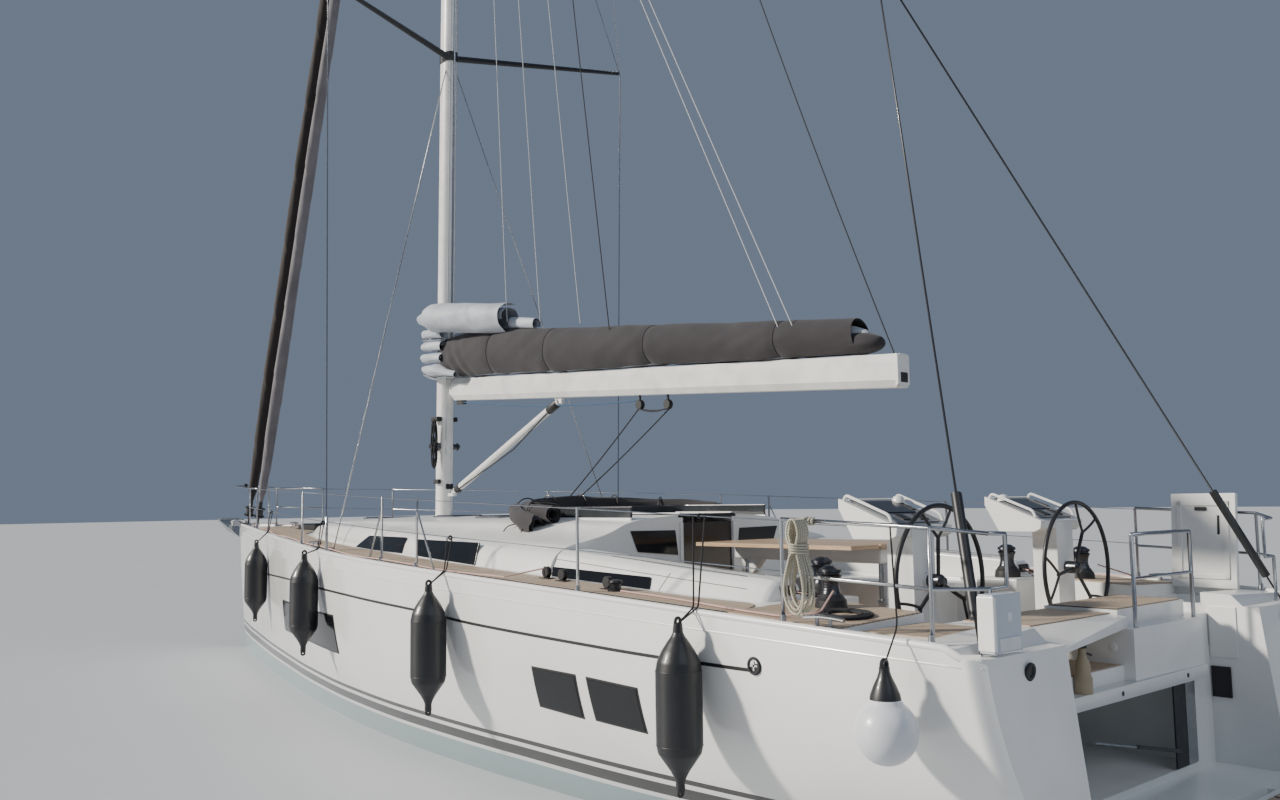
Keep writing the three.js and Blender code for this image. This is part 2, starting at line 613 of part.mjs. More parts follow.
// Bathing platform, folded down on its pins
const platformFront = platform.hingeX - 7;
const platformNotches = lugSpans.map(([y0, y1]) => box(
  platformFront + 1, platform.hingeX - platformLug.radius - platformLug.play,
  y0 - platformLug.play, y1 + platformLug.play, 0, 600,
));
const platformPins = lugSpans.map(([y0, y1]) => rod(
  [platform.hingeX, y0 - 10, platform.hingeZ], [platform.hingeX, y1 + 10, platform.hingeZ],
  platform.pinRadius, 16,
));
const platformEyes = lugSpans.flatMap(([y0, y1]) => [
  [y0 - platformLug.play - 20, y0 - platformLug.play], [y1 + platformLug.play, y1 + platformLug.play + 20],
]).map(([y0, y1]) => box(
  platformFront - 20, platform.hingeX + 12, y0, y1, platform.hingeZ - 14, platform.hingeZ + 14,
));
add('bathing_platform', cut(
  join(box(
    platform.hingeX - platform.length, platformFront, -platform.halfWidth, platform.halfWidth,
    platform.hingeZ - platform.thickness / 2, platform.hingeZ + platform.thickness / 2,
  )), ...platformNotches,
).add(join(...platformPins, ...platformEyes)), teak);

// Guard rails: posts, braces at the gate and two wires on each side
const stanchions = [
  { x: 4500, lean: 0 },
  { x: 1550, lean: 0 },
  { x: -1350, lean: 330 },
  { x: -2100, lean: -330 },
  { x: -4510, lean: 0 },
];
const pushpit = { forwardX: -6480, aftX: -7500, cornerX: -7700, cornerY: 2080, endY: 1900, endZ: 1860 };
const pulpit = { aftX: 6000, forwardX: 7080 };
const wireShares = [0.5, 0.985];

function edgePoint(x, height) {
  const y = halfBeam(x) - railInset;
  return [x, y, deckZ(x, y) + height];
}

function post(x) {
  return rod(edgePoint(x, gap), edgePoint(x, railHeight), railRadius);
}

const wireX = [
  pulpit.aftX - railRadius - gap, ...stanchions.map(({ x }) => x), pushpit.forwardX + railRadius + gap,
];

function guardRail() {
  const posts = stanchions.map(({ x }) => post(x));
  const braces = stanchions.filter(({ lean }) => lean).map(({ x, lean }) => (
    rod(edgePoint(x + lean, gap), edgePoint(x, railHeight - 100), 9, 6)));
  const wires = wireShares.flatMap((share) => wireX.slice(1).map((x, i) => (
    rod(edgePoint(wireX[i], railHeight * share), edgePoint(x, railHeight * share), wireRadius, 5))));
  return join(...posts, ...braces, ...wires).subtract(deckCutter);
}
const guardRailSolid = guardRail();
addPair('guard_rail', guardRailSolid, stainless);

// Pulpit: a rail on four legs round the bow
const bowRail = [
  edgePoint(pulpit.aftX, railHeight), edgePoint(pulpit.forwardX, railHeight), [7800, 190, 2720],
];
const otherSide = (points) => points.map(([x, y, z]) => [x, -y, z]).reverse();
const pulpitLegs = [pulpit.aftX, pulpit.forwardX].flatMap((x) => (
  [1, -1].map((side) => rod(
    edgePoint(x, gap).map((v, i) => (i === 1 ? side * v : v)),
    edgePoint(x, railHeight).map((v, i) => (i === 1 ? side * v : v)), railRadius,
  ))));
const pulpitMids = [1, -1].map((side) => rod(
  edgePoint(pulpit.aftX, railHeight / 2).map((v, i) => (i === 1 ? side * v : v)),
  edgePoint(pulpit.forwardX, railHeight / 2).map((v, i) => (i === 1 ? side * v : v)), 9, 6,
));
add('pulpit', join(
  ...rail([...bowRail, [8010, 60, 2725], [8010, -60, 2725], ...otherSide(bowRail)]),
  ...pulpitLegs, ...pulpitMids,
).subtract(deckCutter), stainless);

// Pushpits: the aft end of each rail, turned in over the transom
const pushpitTop = [
  edgePoint(pushpit.forwardX, railHeight), edgePoint(pushpit.aftX, railHeight),
  [pushpit.cornerX, pushpit.cornerY, deckEdgeZ(pushpit.cornerX) + railHeight - 25],
  [pushpit.cornerX, pushpit.endY, deckEdgeZ(pushpit.cornerX) + railHeight - 30],
  [pushpit.cornerX, pushpit.endY, pushpit.endZ],
];
const pushpitMid = [
  edgePoint(pushpit.forwardX, 300), edgePoint(pushpit.aftX, 300),
  [pushpit.cornerX, pushpit.cornerY, pushpit.endZ], [pushpit.cornerX, pushpit.endY, pushpit.endZ],
];
const pushpitSolid = join(
  ...rail(pushpitTop), ...rail(pushpitMid, 11, 6),
  post(pushpit.forwardX), post(pushpit.aftX),
  rod([pushpit.cornerX, pushpit.cornerY, quarterStep.z + gap],
    [pushpit.cornerX, pushpit.cornerY, pushpit.endZ], railRadius),
).subtract(deckCutter);
addPair('pushpit', pushpitSolid, stainless);

// Stern rail on the ledge of the aft locker
const sternRail = { x: -7462, y0: -1100, y1: -150, topZ: 2085, midZ: 1780 };
add('stern_rail', join(
  ...rail([
    [sternRail.x, sternRail.y0, aftLocker.ledgeZ + gap], [sternRail.x, sternRail.y0, sternRail.topZ],
    [sternRail.x, sternRail.y1, sternRail.topZ], [sternRail.x, sternRail.y1, aftLocker.ledgeZ + gap],
  ], 15),
  rod([sternRail.x, sternRail.y0, sternRail.midZ], [sternRail.x, sternRail.y1, sternRail.midZ], 12, 8),
), stainless);

// Case for a rescue sling, hung outside the port pushpit
const caseX = pushpit.cornerX - railRadius / 2;
add('rescue_case', toSolid(box(caseX - 90, caseX, 1930, 2210, 1530, 1840))
  .subtract(pushpitSolid.translate([-gap, 0, 0])), moulding);

// Bow: roller channel and anchor
const roller = { x: 8190, z: 2050, radius: 35 };
const bowCutter = [[gap, 0, 0], [0, gap, 0], [0, -gap, 0]]
  .reduce((whole, shift) => whole.add(hullBlock.translate(shift)), deckCutter);
add('bow_roller', join(
  box(7600, 8240, -60, 60, 2030, 2066),
  ...[1, -1].map((side) => slab([
    [7900, 2060], [8240, 2040], [8240, 2120], [8190, 2150], [8100, 2150], [7900, 2090],
  ], side * 50, side * 60)),
).subtract(bowCutter)
  .subtract(toSolid(box(8140, 8250, -49, 49, 2000, 2200)))
  .add(toSolid(rod([roller.x, -51, roller.z], [roller.x, 51, roller.z], roller.radius, 12))), stainless);
const shankZ = roller.z + roller.radius + gap;
add('anchor', join(
  slab([
    [7820, shankZ], [8330, shankZ], [8480, 1960], [8560, 1960], [8600, 2060], [8400, shankZ + 50],
    [7820, shankZ + 45],
  ], -16, 16),
  loft([
    [[8540, 210, 2170], [8560, -210, 2170], [8600, 0, 1990], [8590, 0, 1960]],
    [[8700, 150, 2120], [8700, -150, 2120], [8720, 0, 2000], [8715, 0, 1985]],
  ]),
  loft([
    [[8110, 6, 1850], [8110, -6, 1850], [8112, -6, 1840], [8112, 6, 1840]],
    [[8560, 190, 2140], [8560, -190, 2140], [8620, -20, 1950], [8620, 20, 1950]],
  ]),
), galvanised);

// Mast: an oval tube with a little rake, stepped on the coachroof
function mastRing(z, grow = 0, scale = 1) {
  const sides = 12;
  return Array.from({ length: sides }, (_, i) => {
    const a = (i / sides) * 2 * Math.PI;
    const x = mast.x - mast.rake * z + (mast.halfLength * scale + grow) * Math.cos(a);
    return [x, (mast.halfWidth * scale + grow) * Math.sin(a), z];
  });
}
const mastFootZ = 2100;
const mastTaperZ = 21500;
const mastTube = loft([mastRing(mastFootZ), mastRing(mastTaperZ), mastRing(mast.topZ, 0, 0.75)]);
const mastCutter = toSolid(loft([mastRing(mastFootZ, gap), mastRing(mastTaperZ, gap),
  mastRing(mast.topZ, gap, 0.75)]));
const mastX = (z) => mast.x - mast.rake * z;
const boomUnder = (x) => boom.footZ + boom.slope * (x - boom.pinX);
const pin = { radius: 16, z0: boom.footZ + 20, z1: boom.footZ + 260 };
const lugZ = [pin.z0 + 30, pin.z1 - 60];
const lugThickness = 30;
const kicker = { lowZ: 2540, highX: -1120, radius: 45, eyeZ: 2500 };

// A bracket from the mast to an upright pin, with an eye between the two heights
function pinBracket(pinZ0, pinZ1, eyeZ0, eyeZ1) {
  return [
    rod([boom.pinX, 0, pinZ0], [boom.pinX, 0, pinZ1], pin.radius, 12),
    rod([boom.pinX, 0, eyeZ0], [boom.pinX, 0, eyeZ1], 34, 12),
    box(boom.pinX, mastX(eyeZ0), -28, 28, eyeZ0, eyeZ1),
  ];
}
add('mast', join(
  mastTube,
  box(mastX(mast.topZ) - 260, mastX(mast.topZ) + 150, -45, 45, mast.topZ - 60, mast.topZ + 15),
  ...pinBracket(pin.z0, pin.z1, lugZ[0] + lugThickness + gap, lugZ[1] - gap),
  ...pinBracket(kicker.eyeZ - 40, kicker.eyeZ + 60, kicker.eyeZ - 40, kicker.eyeZ - gap),
).subtract(roofSolid.translate([0, 0, gap])), sparPaint);

// Swept spreaders: a collar on the mast and an arm to each side
const spreaders = [
  { name: 'spreaders_lower', z: lowerSpreaderZ, tipX: 300, tipY: 2150, rise: 50 },
  { name: 'spreaders_upper', z: upperSpreaderZ, tipX: 420, tipY: 1500, rise: 40 },
];
for (const { name, z, tipX, tipY, rise } of spreaders) {
  const arms = [1, -1].map((side) => rod(
    [mastX(z) - 60, side * 60, z], [tipX, side * tipY, z + rise], 42, 8, 24,
  ));
  const collar = loft([mastRing(z - 60, 12), mastRing(z + 60, 12)]);
  add(name, join(collar, ...arms).subtract(mastCutter), blackAlloy);
}

// Standing rigging of one side: cap shroud over both spreaders, and the diagonals
const chainplate = [350, 2080, deckZ(350, 2080) + gap];
const houndsZ = 21600;
const shroudRadius = 8;
const tipPoints = spreaders.map(({ z, tipX, tipY, rise }) => [tipX, tipY + shroudRadius + 14, z + rise]);
const hounds = [mastX(houndsZ) - 40, 80, houndsZ];
const mastSide = (z) => [mastX(z) - 60, 70, z];
addPair('shrouds', join(
  ...rail([chainplate, tipPoints[0], tipPoints[1], hounds], shroudRadius, 6),
  rod([chainplate[0] - 40, chainplate[1] - 60, chainplate[2]], mastSide(lowerSpreaderZ - 160), 7, 6),
  rod([chainplate[0] - 40, chainplate[1] - 60, chainplate[2] + 30], [...chainplate.slice(0, 2),
    chainplate[2] + 30], 14, 6),
  rod(chainplate, [chainplate[0], chainplate[1], chainplate[2] + 380], 16, 8),
  rod(tipPoints[0], mastSide(upperSpreaderZ - 160), 7, 6),
).subtract(mastCutter).subtract(deckCutter), stainless);

// Backstay: two legs with adjuster tubes meet on the centreline below the masthead
const backstay = {
  foot: [-7700, 2190], fork: [-5600, 0, 6940], top: [mastX(24200) - 235, 0, 24240], tubeRadius: 32,
};
const footPoint = [...backstay.foot, quarterStep.z + gap];
const along = (from, to, share) => from.map((v, i) => v + (to[i] - v) * share);
const legs = [1, -1].flatMap((side) => {
  const foot = [footPoint[0], side * footPoint[1], footPoint[2]];
  return [
    rod(foot, backstay.fork, 8, 6),
    rod(along(foot, backstay.fork, 0.035), along(foot, backstay.fork, 0.16), backstay.tubeRadius, 10),
  ];
});
add('backstay', join(...legs, ball(backstay.fork, 30), rod(backstay.fork, backstay.top, 8, 6))
  .subtract(deckCutter).subtract(toSolid(box(mastX(mast.topZ) - 261, mastX(mast.topZ) + 151, -46, 46,
    mast.topZ - 60 - gap, mast.topZ + 16))), blackAlloy);

// Headstays with their furled sails: radius by distance from the deck fitting
const headstays = [
  { name: 'furled_headsail_front', footX: 7730, headZ: 21800, roll: [105, 95, 48] },
  { name: 'furled_headsail_aft', footX: 7320, headZ: 20900, roll: [92, 80, 42] },
];
for (const { name, footX, headZ, roll } of headstays) {
  const foot = new THREE.Vector3(footX, 0, deckZ(footX, 0) + 40);
  const head = new THREE.Vector3(mastX(headZ) + mast.halfLength - 20, 0, headZ);
  const axis = head.clone().sub(foot);
  const length = axis.length();
  const profile = [
    [0, 0], [14, 0], [14, 180], [85, 190], [85, 330], [30, 345], [30, 420], [roll[0] * 0.7, 620],
    [roll[0], 2600], [roll[1], 9000], [roll[2], length - 2600], [18, length - 1700], [9, length - 1650],
    [9, length], [0, length],
  ];
  const turned = new THREE.LatheGeometry(profile.map(([r, h]) => new THREE.Vector2(r, h)), 10);
  const turn = new THREE.Quaternion().setFromUnitVectors(new THREE.Vector3(0, 1, 0), axis.normalize());
  turned.applyQuaternion(turn).translate(...foot.toArray());
  const tack = box(footX - 60, footX + 50, -22, 22, deckZ(footX, 0) - 20, deckZ(footX, 0) + 75);
  const rollerCutter = toSolid(box(7600 - gap, 8240, -60 - gap, 60 + gap, 2000, 2066 + gap));
  add(name, join(turned, tack).subtract(deckCutter).subtract(mastCutter).subtract(rollerCutter), canvas);
}

// Boom: it turns about the gooseneck's upright pin, with the kicker below and the cover above
function boomSection(x) {
  const z = boomUnder(x);
  const w = boom.width / 2;
  return [
    [x, w - 35, z], [x, w, z + 60], [x, w, z + 210], [x, w - 40, z + boom.depth],
    [x, -w + 40, z + boom.depth], [x, -w, z + 210], [x, -w, z + 60], [x, -w + 35, z],
  ];
}
const noseX = boom.pinX - 60;
function pinLug(z) {
  return join(
    rod([boom.pinX, 0, z], [boom.pinX, 0, z + lugThickness], 42, 12),
    box(noseX - 10, boom.pinX, -40, 40, z, z + lugThickness),
  );
}
const pinHole = toSolid(rod([boom.pinX, 0, 2000], [boom.pinX, 0, 5000], pin.radius + 1, 12));
const boomBody = toSolid(loft([boomSection(noseX), boomSection(boom.aftX)]));
add('boom', lugZ.reduce((whole, z) => whole.add(pinLug(z)), boomBody).subtract(pinHole), sparPaint);

// Rigid kicker: it shares the boom's upright axis, so it swings with the boom
const kickerTopZ = boomUnder(kicker.highX);
const kickerShoe = [-60, 60].map((dx) => [kicker.highX + dx, boomUnder(kicker.highX + dx) - gap]);
add('kicker', join(
  rod([boom.pinX - 70, 0, kicker.lowZ], [kicker.highX, 0, kickerTopZ - 45], kicker.radius, 12),
  box(boom.pinX - 110, boom.pinX, -22, 22, kicker.eyeZ, kicker.eyeZ + lugThickness),
  rod([boom.pinX, 0, kicker.eyeZ], [boom.pinX, 0, kicker.eyeZ + lugThickness], 36, 12),
  slab([
    ...kickerShoe, [kicker.highX + 60, kickerTopZ - 70], [kicker.highX - 60, kickerTopZ - 70],
  ], -20, 20),
).subtract(pinHole), sparPaint);

// Mainsail stowed in its cover on the boom, with loose folds at its front
const coverStations = [
  { x: 1000, halfWidth: 110, height: 820 },
  { x: 860, halfWidth: 200, height: 980 },
  { x: 640, halfWidth: 205, height: 900 },
  { x: 300, halfWidth: 205, height: 600 },
  { x: -2800, halfWidth: 190, height: 440 },
  { x: -4600, halfWidth: 160, height: 360 },
  { x: -5480, halfWidth: 130, height: 300 },
];
function coverRing({ x, halfWidth, height }) {
  const foot = boomUnder(x) + boom.depth + gap;
  const w = halfWidth;
  return [
    [x, 40, foot], [x, w, foot + 60], [x, w, foot + height * 0.55], [x, w * 0.55, foot + height * 0.9],
    [x, 0, foot + height], [x, -w * 0.55, foot + height * 0.9], [x, -w, foot + height * 0.55],
    [x, -w, foot + 60], [x, -40, foot],
  ];
}
add('sail_cover', loft(coverStations.map(coverRing)), canvas);

// Underwater: fin, bulb, rudder, saildrive and propeller
function foil(x, chord, thickness, z) {
  const shares = [0, 0.04, 0.14, 0.32, 0.62, 1];
  const half = [0, 0.42, 0.82, 1, 0.68, 0.06];
  const port = shares.map((s, i) => [x - s * chord, half[i] * thickness / 2, z]);
  const starboard = port.slice(1).map(([px, y]) => [px, -y, z]).reverse();
  return [...port, ...starboard];
}
const keel = { rootX: 1150, rootChord: 1900, tipX: 750, tipChord: 1500, tipZ: -2420 };
const finSolid = toSolid(loft([
  foil(keel.rootX, keel.rootChord, 230, -400), foil(keel.tipX, keel.tipChord, 170, keel.tipZ),
]));
add('keel_fin', finSolid.subtract(hullBlock.translate([0, 0, -gap])), castIron);
const bulb = { noseX: 1050, length: 2900, z: -2590, halfWidth: 250, halfHeight: 200 };
const bulbStations = [[0.01, 0.12], [0.08, 0.55], [0.25, 0.94], [0.45, 1], [0.75, 0.6], [0.99, 0.1]];
const bulbRings = bulbStations.map(([share, size]) => Array.from({ length: 12 }, (_, i) => {
  const a = (i / 12) * 2 * Math.PI;
  return [bulb.noseX - share * bulb.length, bulb.halfWidth * size * Math.cos(a),
    bulb.z + bulb.halfHeight * size * Math.sin(a)];
}));
add('keel_bulb', toSolid(loft(bulbRings)).subtract(finSolid.translate([0, 0, -gap]))
  .subtract(toSolid(box(-3000, 3000, -600, 600, -keelDepth - 100, -keelDepth))), castIron);

const rudderTopZ = -185;
add('rudder', join(
  loft([
    foil(rudderStock.x + 150, 640, 105, rudderTopZ), foil(rudderStock.x + 110, 400, 70, -2350),
  ]),
  rod([rudderStock.x, 0, rudderTopZ - 100], [rudderStock.x, 0, rudderStock.topZ - gap],
    rudderStock.radius, 16),
), antifouling);

const drive = { x: -2260, chord: 330, z: -1120, radius: 72, aftX: -2640 };
add('saildrive', join(
  loft([foil(drive.x + 40, drive.chord, 120, -420), foil(drive.x, 280, 90, drive.z)]),
  rod([drive.x + 60, 0, drive.z], [drive.aftX, 0, drive.z], drive.radius, 12, 55),
).subtract(hullBlock.translate([0, 0, -gap])), antifouling);
const hubX = { forward: drive.aftX - gap, aft: drive.aftX - 150 };
function blade(degrees) {
  const outline = new THREE.Shape();
  outline.moveTo(-30, 20);
  outline.quadraticCurveTo(-85, 150, -20, 265);
  outline.quadraticCurveTo(70, 240, 62, 130);
  outline.lineTo(30, 20);
  const flat = new THREE.ExtrudeGeometry(outline, { depth: 12, bevelEnabled: false, curveSegments: 4 });
  return flat.translate(0, 0, -6).rotateX(Math.PI / 2).rotateZ(THREE.MathUtils.degToRad(62))
    .rotateX(THREE.MathUtils.degToRad(degrees))
    .translate((hubX.forward + hubX.aft) / 2, 0, drive.z);
}
add('propeller', join(
  rod([hubX.forward, 0, drive.z], [hubX.aft, 0, drive.z], 52, 12, 30),
  ...[0, 120, 240].map(blade),
), bronze);

// Fenders hung from the rail along the port side: place, height of the top eye, kind
const fenders = [
  { x: 4150, eyeZ: 1870, kind: 'long' },
  { x: 460, eyeZ: 1850, kind: 'long' },
  { x: -2730, eyeZ: 1690, kind: 'long' },
  { x: -5790, eyeZ: 1590, kind: 'long' },
  { x: -7360, eyeZ: 1470, kind: 'ball' },
];
const fenderProfiles = {
  long: {
    radius: 150,
    points: [[0, -1060], [28, -1060], [28, -990], [60, -940], [150, -800], [150, -270], [60, -100],
      [28, -60], [28, 0], [0, 0]],
  },
  ball: {
    radius: 205,
    points: [[0, -520], [90, -505], [170, -440], [205, -330], [180, -215], [110, -120], [55, -85],
      [45, 0], [0, 0]],
  },
};
const lanyardRadius = 6;

// Where a lanyard of the port side meets the outboard face of the lower wire or rail
function railPointAt(x) {
  const onPushpit = x < pushpit.forwardX;
  const ends = onPushpit ? [pushpit.aftX, pushpit.forwardX] : wireX;
  const height = onPushpit ? 300 : railHeight * wireShares[0];
  const spans = [...ends].sort((a, b) => a - b);
  const next = spans.findIndex((end) => end > x);
  const [from, to] = [spans[next - 1], spans[next]].map((end) => edgePoint(end, height));
  const [, y, z] = along(from, to, (x - from[0]) / (to[0] - from[0]));
  return [x, y + (onPushpit ? 11 : wireRadius), z];
}
const railCutter = [-gap, 0, gap]
  .map((dz) => guardRailSolid.add(pushpitSolid).translate([0, gap, dz]))
  .reduce((whole, piece) => whole.add(piece));
fenders.forEach(({ x, eyeZ, kind }, i) => {
  const { radius, points } = fenderProfiles[kind];
  const y = halfBeam(x) + radius + 6;
  const body = new THREE.LatheGeometry(points.map(([r, h]) => new THREE.Vector2(r, h)), 14);
  body.rotateX(Math.PI / 2).translate(x, y, eyeZ);
  const lanyardTop = railPointAt(x);
  const overEdge = [x, halfBeam(x) + 16, deckEdgeZ(x) + 25];
  const lanyard = rail([[x, y - 30, eyeZ - 20], overEdge, lanyardTop], lanyardRadius, 6);
  const cutter = deckCutter.translate([0, 2, 0]);
  add(`fender_${i + 1}`, join(body, ...lanyard).subtract(cutter).subtract(railCutter),
    kind === 'ball' ? buoyVinyl : fenderVinyl);
});

// Foredeck hatch with its lid
const deckHatch = { x0: 4560, x1: 5060, halfWidth: 250, hingeGap: 6 };
const hatchBase = box(
  deckHatch.x0 - 30, deckHatch.x1 + 30, -deckHatch.halfWidth - 30, deckHatch.halfWidth + 30, 1950, 2075,
);
add('deck_hatch_frame', toSolid(hatchBase).subtract(deckCutter), blackAlloy);
add('deck_hatch_lid', box(
  deckHatch.x0, deckHatch.x1, -deckHatch.halfWidth, deckHatch.halfWidth, 2075 + gap, 2100,
), smokedGlass);

yacht.name = 'sailing_yacht';

export default yacht;
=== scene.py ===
"""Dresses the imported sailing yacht: hull skin, deck, cockpit, rails, rig, stowed sails and fenders.

Metres, in the part's frame: +X towards the bow, +Y to port, +Z up. The stage's floor is the waterline.
"""
import math

import bmesh
import bpy
import numpy as np
from mathutils import Matrix, Vector


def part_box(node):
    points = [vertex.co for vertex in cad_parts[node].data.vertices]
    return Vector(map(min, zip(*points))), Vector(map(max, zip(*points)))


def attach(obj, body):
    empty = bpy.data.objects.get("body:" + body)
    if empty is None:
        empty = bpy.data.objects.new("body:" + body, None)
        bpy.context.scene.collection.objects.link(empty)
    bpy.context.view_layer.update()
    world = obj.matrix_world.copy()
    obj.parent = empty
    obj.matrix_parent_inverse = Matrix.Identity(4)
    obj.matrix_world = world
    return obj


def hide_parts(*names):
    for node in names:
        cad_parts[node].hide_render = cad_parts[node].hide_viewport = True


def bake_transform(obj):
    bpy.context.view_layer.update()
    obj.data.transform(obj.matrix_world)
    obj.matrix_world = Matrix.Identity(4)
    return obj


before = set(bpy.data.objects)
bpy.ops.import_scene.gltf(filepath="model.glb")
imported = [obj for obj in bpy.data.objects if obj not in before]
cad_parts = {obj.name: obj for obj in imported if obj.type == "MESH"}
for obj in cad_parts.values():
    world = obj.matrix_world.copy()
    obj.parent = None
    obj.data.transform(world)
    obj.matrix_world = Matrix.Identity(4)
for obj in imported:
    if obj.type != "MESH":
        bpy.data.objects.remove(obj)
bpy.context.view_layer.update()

bl_info = {
    "name": "Sailing yacht dresser",
    "version": (1, 0, 0),
    "blender": (4, 5, 0),
    "location": "3D View > Sidebar > Yacht",
    "description": "Builds the visible pieces of a cruising sailing yacht round its packed frame",
    "category": "Object",
}

HULL = "hull_body"
BOOM = "boom_gear"

# Hull stations: place, half beam, fullness of the section, keel line
STATIONS = np.array([
    (-7.98, 2.290, 0.50, 0.06), (-7.89, 2.368, 0.50, 0.05), (-6.4, 2.440, 0.50, -0.12),
    (-4.8, 2.470, 0.48, -0.32), (-3.2, 2.475, 0.55, -0.48), (-1.6, 2.410, 0.57, -0.57),
    (0.0, 2.210, 0.56, -0.60), (1.6, 1.860, 0.50, -0.58), (3.2, 1.425, 0.42, -0.50),
    (4.8, 0.960, 0.33, -0.37), (6.2, 0.545, 0.32, -0.23), (7.2, 0.250, 0.38, -0.12),
    (7.7, 0.105, 0.42, -0.06), (7.98, 0.022, 0.50, -0.02),
])
HULL_LENGTH = 15.96
WIDEST_HALF_BEAM = 2.475
STERN_SHEER, SHEER_RISE, SHEER_SPRING = 1.54, 0.51, 0.22
CAMBER = 0.06
# The transom leans over this reach from its start aft, the stem over its own reach forward
TRANSOM_START, TRANSOM_REACH, TRANSOM_RAKE = -6.4, 1.58, 0.195
STEM_START, STEM_REACH, STEM_RAKE = 6.2, 1.78, 0.32
# The deck edge's step at the transom: places, heights, and a height that never cuts anything
STEP_X, STEP_Z, NO_STEP = [-7.68, -7.57], [1.51, 1.62], 9.0
SOLE_Z = 1.2
RAIL_HEIGHT = 0.632
RAIL_INSET = 0.055
MAST_X = 1.38
MAST_RAKE = 0.015
BOOM_PIN_X = 1.1
BOOM_FOOT_Z = 3.68
BOOM_SLOPE = 0.0626
BOOM_DEPTH = 0.28
BOOM_AFT_X = -5.74


def metres(name, description, default):
    """A property that holds one length."""
    return bpy.props.FloatProperty(name=name, description=description, default=default, unit="LENGTH")


def colour(name, description, default):
    """A property that holds one colour of red, green and blue."""
    return bpy.props.FloatVectorProperty(
        name=name, description=description, subtype="COLOR", size=3, min=0, max=1, default=default)


class YachtSizes(bpy.types.PropertyGroup):
    """Sizes that a user would change"""
    line_radius: metres("Line radius", "Radius of the mainsheet", 0.007)
    plank_width: metres("Plank width", "Width of one teak plank", 0.05)
    caulk_width: metres("Caulk width", "Width of a seam between planks", 0.005)
    fender_radius: metres("Fender radius", "Radius of the long fenders", 0.15)
    floor_size: metres("Floor size", "Side of the stage's floor", 400.0)


class YachtColours(bpy.types.PropertyGroup):
    """Colours that a user would change"""
    gelcoat: colour("Gelcoat", "Topsides and deck mouldings", (0.86, 0.86, 0.84))
    bottom_paint: colour("Bottom paint", "Antifouling below the waterline", (0.045, 0.085, 0.11))
    stripe: colour("Stripe", "Boot stripes and cove line", (0.03, 0.027, 0.028))
    teak: colour("Teak", "Weathered teak planks", (0.42, 0.315, 0.225))
    canvas: colour("Canvas", "Sail cover and folded sprayhood", (0.029, 0.026, 0.030))
    headsail_wrap: colour("Headsail wrap", "Sun strip of the furled headsails", (0.024, 0.018, 0.017))
    sailcloth: colour("Sailcloth", "Loose folds of the mainsail", (0.42, 0.45, 0.50))
    spar: colour("Spar", "Painted mast and boom", (0.82, 0.82, 0.80))
    fender: colour("Fender", "Long fenders", (0.012, 0.013, 0.016))
    floor: colour("Floor", "The stage's floor", (0.54, 0.56, 0.59))


def sizes():
    """The sizes that a user can change in the panel."""
    return bpy.context.scene.yacht_sizes


def colours():
    """The colours that a user can change in the panel."""
    return bpy.context.scene.yacht_colours


def smooth(xs, ys, x):
    """A curve through (xs, ys): cubic pieces that don't overshoot, because the slope at a point is the
    harmonic mean of its neighbours' slopes, or none where they change sign."""
    order = np.argsort(xs)
    xs, ys = np.asarray(xs, float)[order], np.asarray(ys, float)[order]
    chords = np.diff(ys) / np.diff(xs)
    before, after = chords[:-1], chords[1:]
    same = before * after > 0
    mean = 2 * before * after / np.where(same, before + after, 1)
    slopes = np.concatenate([chords[:1], np.where(same, mean, 0), chords[-1:]])
    i = np.clip(np.searchsorted(xs, x) - 1, 0, len(xs) - 2)
    h = xs[i + 1] - xs[i]
    t = np.clip((x - xs[i]) / h, 0, 1)
    rise = t * t * (3 - 2 * t)
    bend = t * (1 - t) ** 2 * slopes[i] - t * t * (1 - t) * slopes[i + 1]
    return ys[i] * (1 - rise) + ys[i + 1] * rise + bend * h


def half_beam(x):
    """Half the hull's width at the deck edge: a smooth curve through the stations."""
    return smooth(STATIONS[:, 0], STATIONS[:, 1], x)


def deck_edge(x):
    """Sheer line, t being the share of the length from the stern: stern + rise t + spring t (1 - t)."""
    t = np.asarray(x) / HULL_LENGTH + 0.5
    return STERN_SHEER + SHEER_RISE * t + SHEER_SPRING * t * (1 - t)


def deck_z(x, y):
    """Camber: low slope to half the beam, steeper from there to the edge."""
    beam = half_beam(x)
    share = np.minimum(1, np.abs(y) / beam)
    rise = np.where(share > 0.5, 1.5 * (1 - share), 1 - 0.5 * share)
    return deck_edge(x) + CAMBER * beam / WIDEST_HALF_BEAM * rise


def hull_surface(x, t):
    """Topside and bottom: a runs as t squared; y = beam sin(a)^fullness, z rises with 1 - cos(a),
    and x is drawn aft at the stem and forward at the transom by the depth below the deck edge.
    The deck edge steps down at the transom."""
    beam = half_beam(x)
    fullness = smooth(STATIONS[:, 0], STATIONS[:, 2], x)
    keel = smooth(STATIONS[:, 0], STATIONS[:, 3], x)
    stern = TRANSOM_RAKE * np.clip((TRANSOM_START - x) / TRANSOM_REACH, 0, 1)
    edge = deck_edge(x + stern)
    a = t * t * math.pi / 2
    y = np.sign(t) * beam * np.sin(a) ** fullness
    z = keel + (edge - keel) * (1 - np.cos(a))
    below = np.maximum(0, (edge - z) / edge)
    bow = np.clip((x - STEM_START) / STEM_REACH, 0, 1) ** 2
    along = x + stern * (1 - below) - STEM_RAKE * bow * below ** 1.5
    step = np.interp(along, STEP_X, STEP_Z, right=NO_STEP)
    return xyz(along, y, np.minimum(z, step))


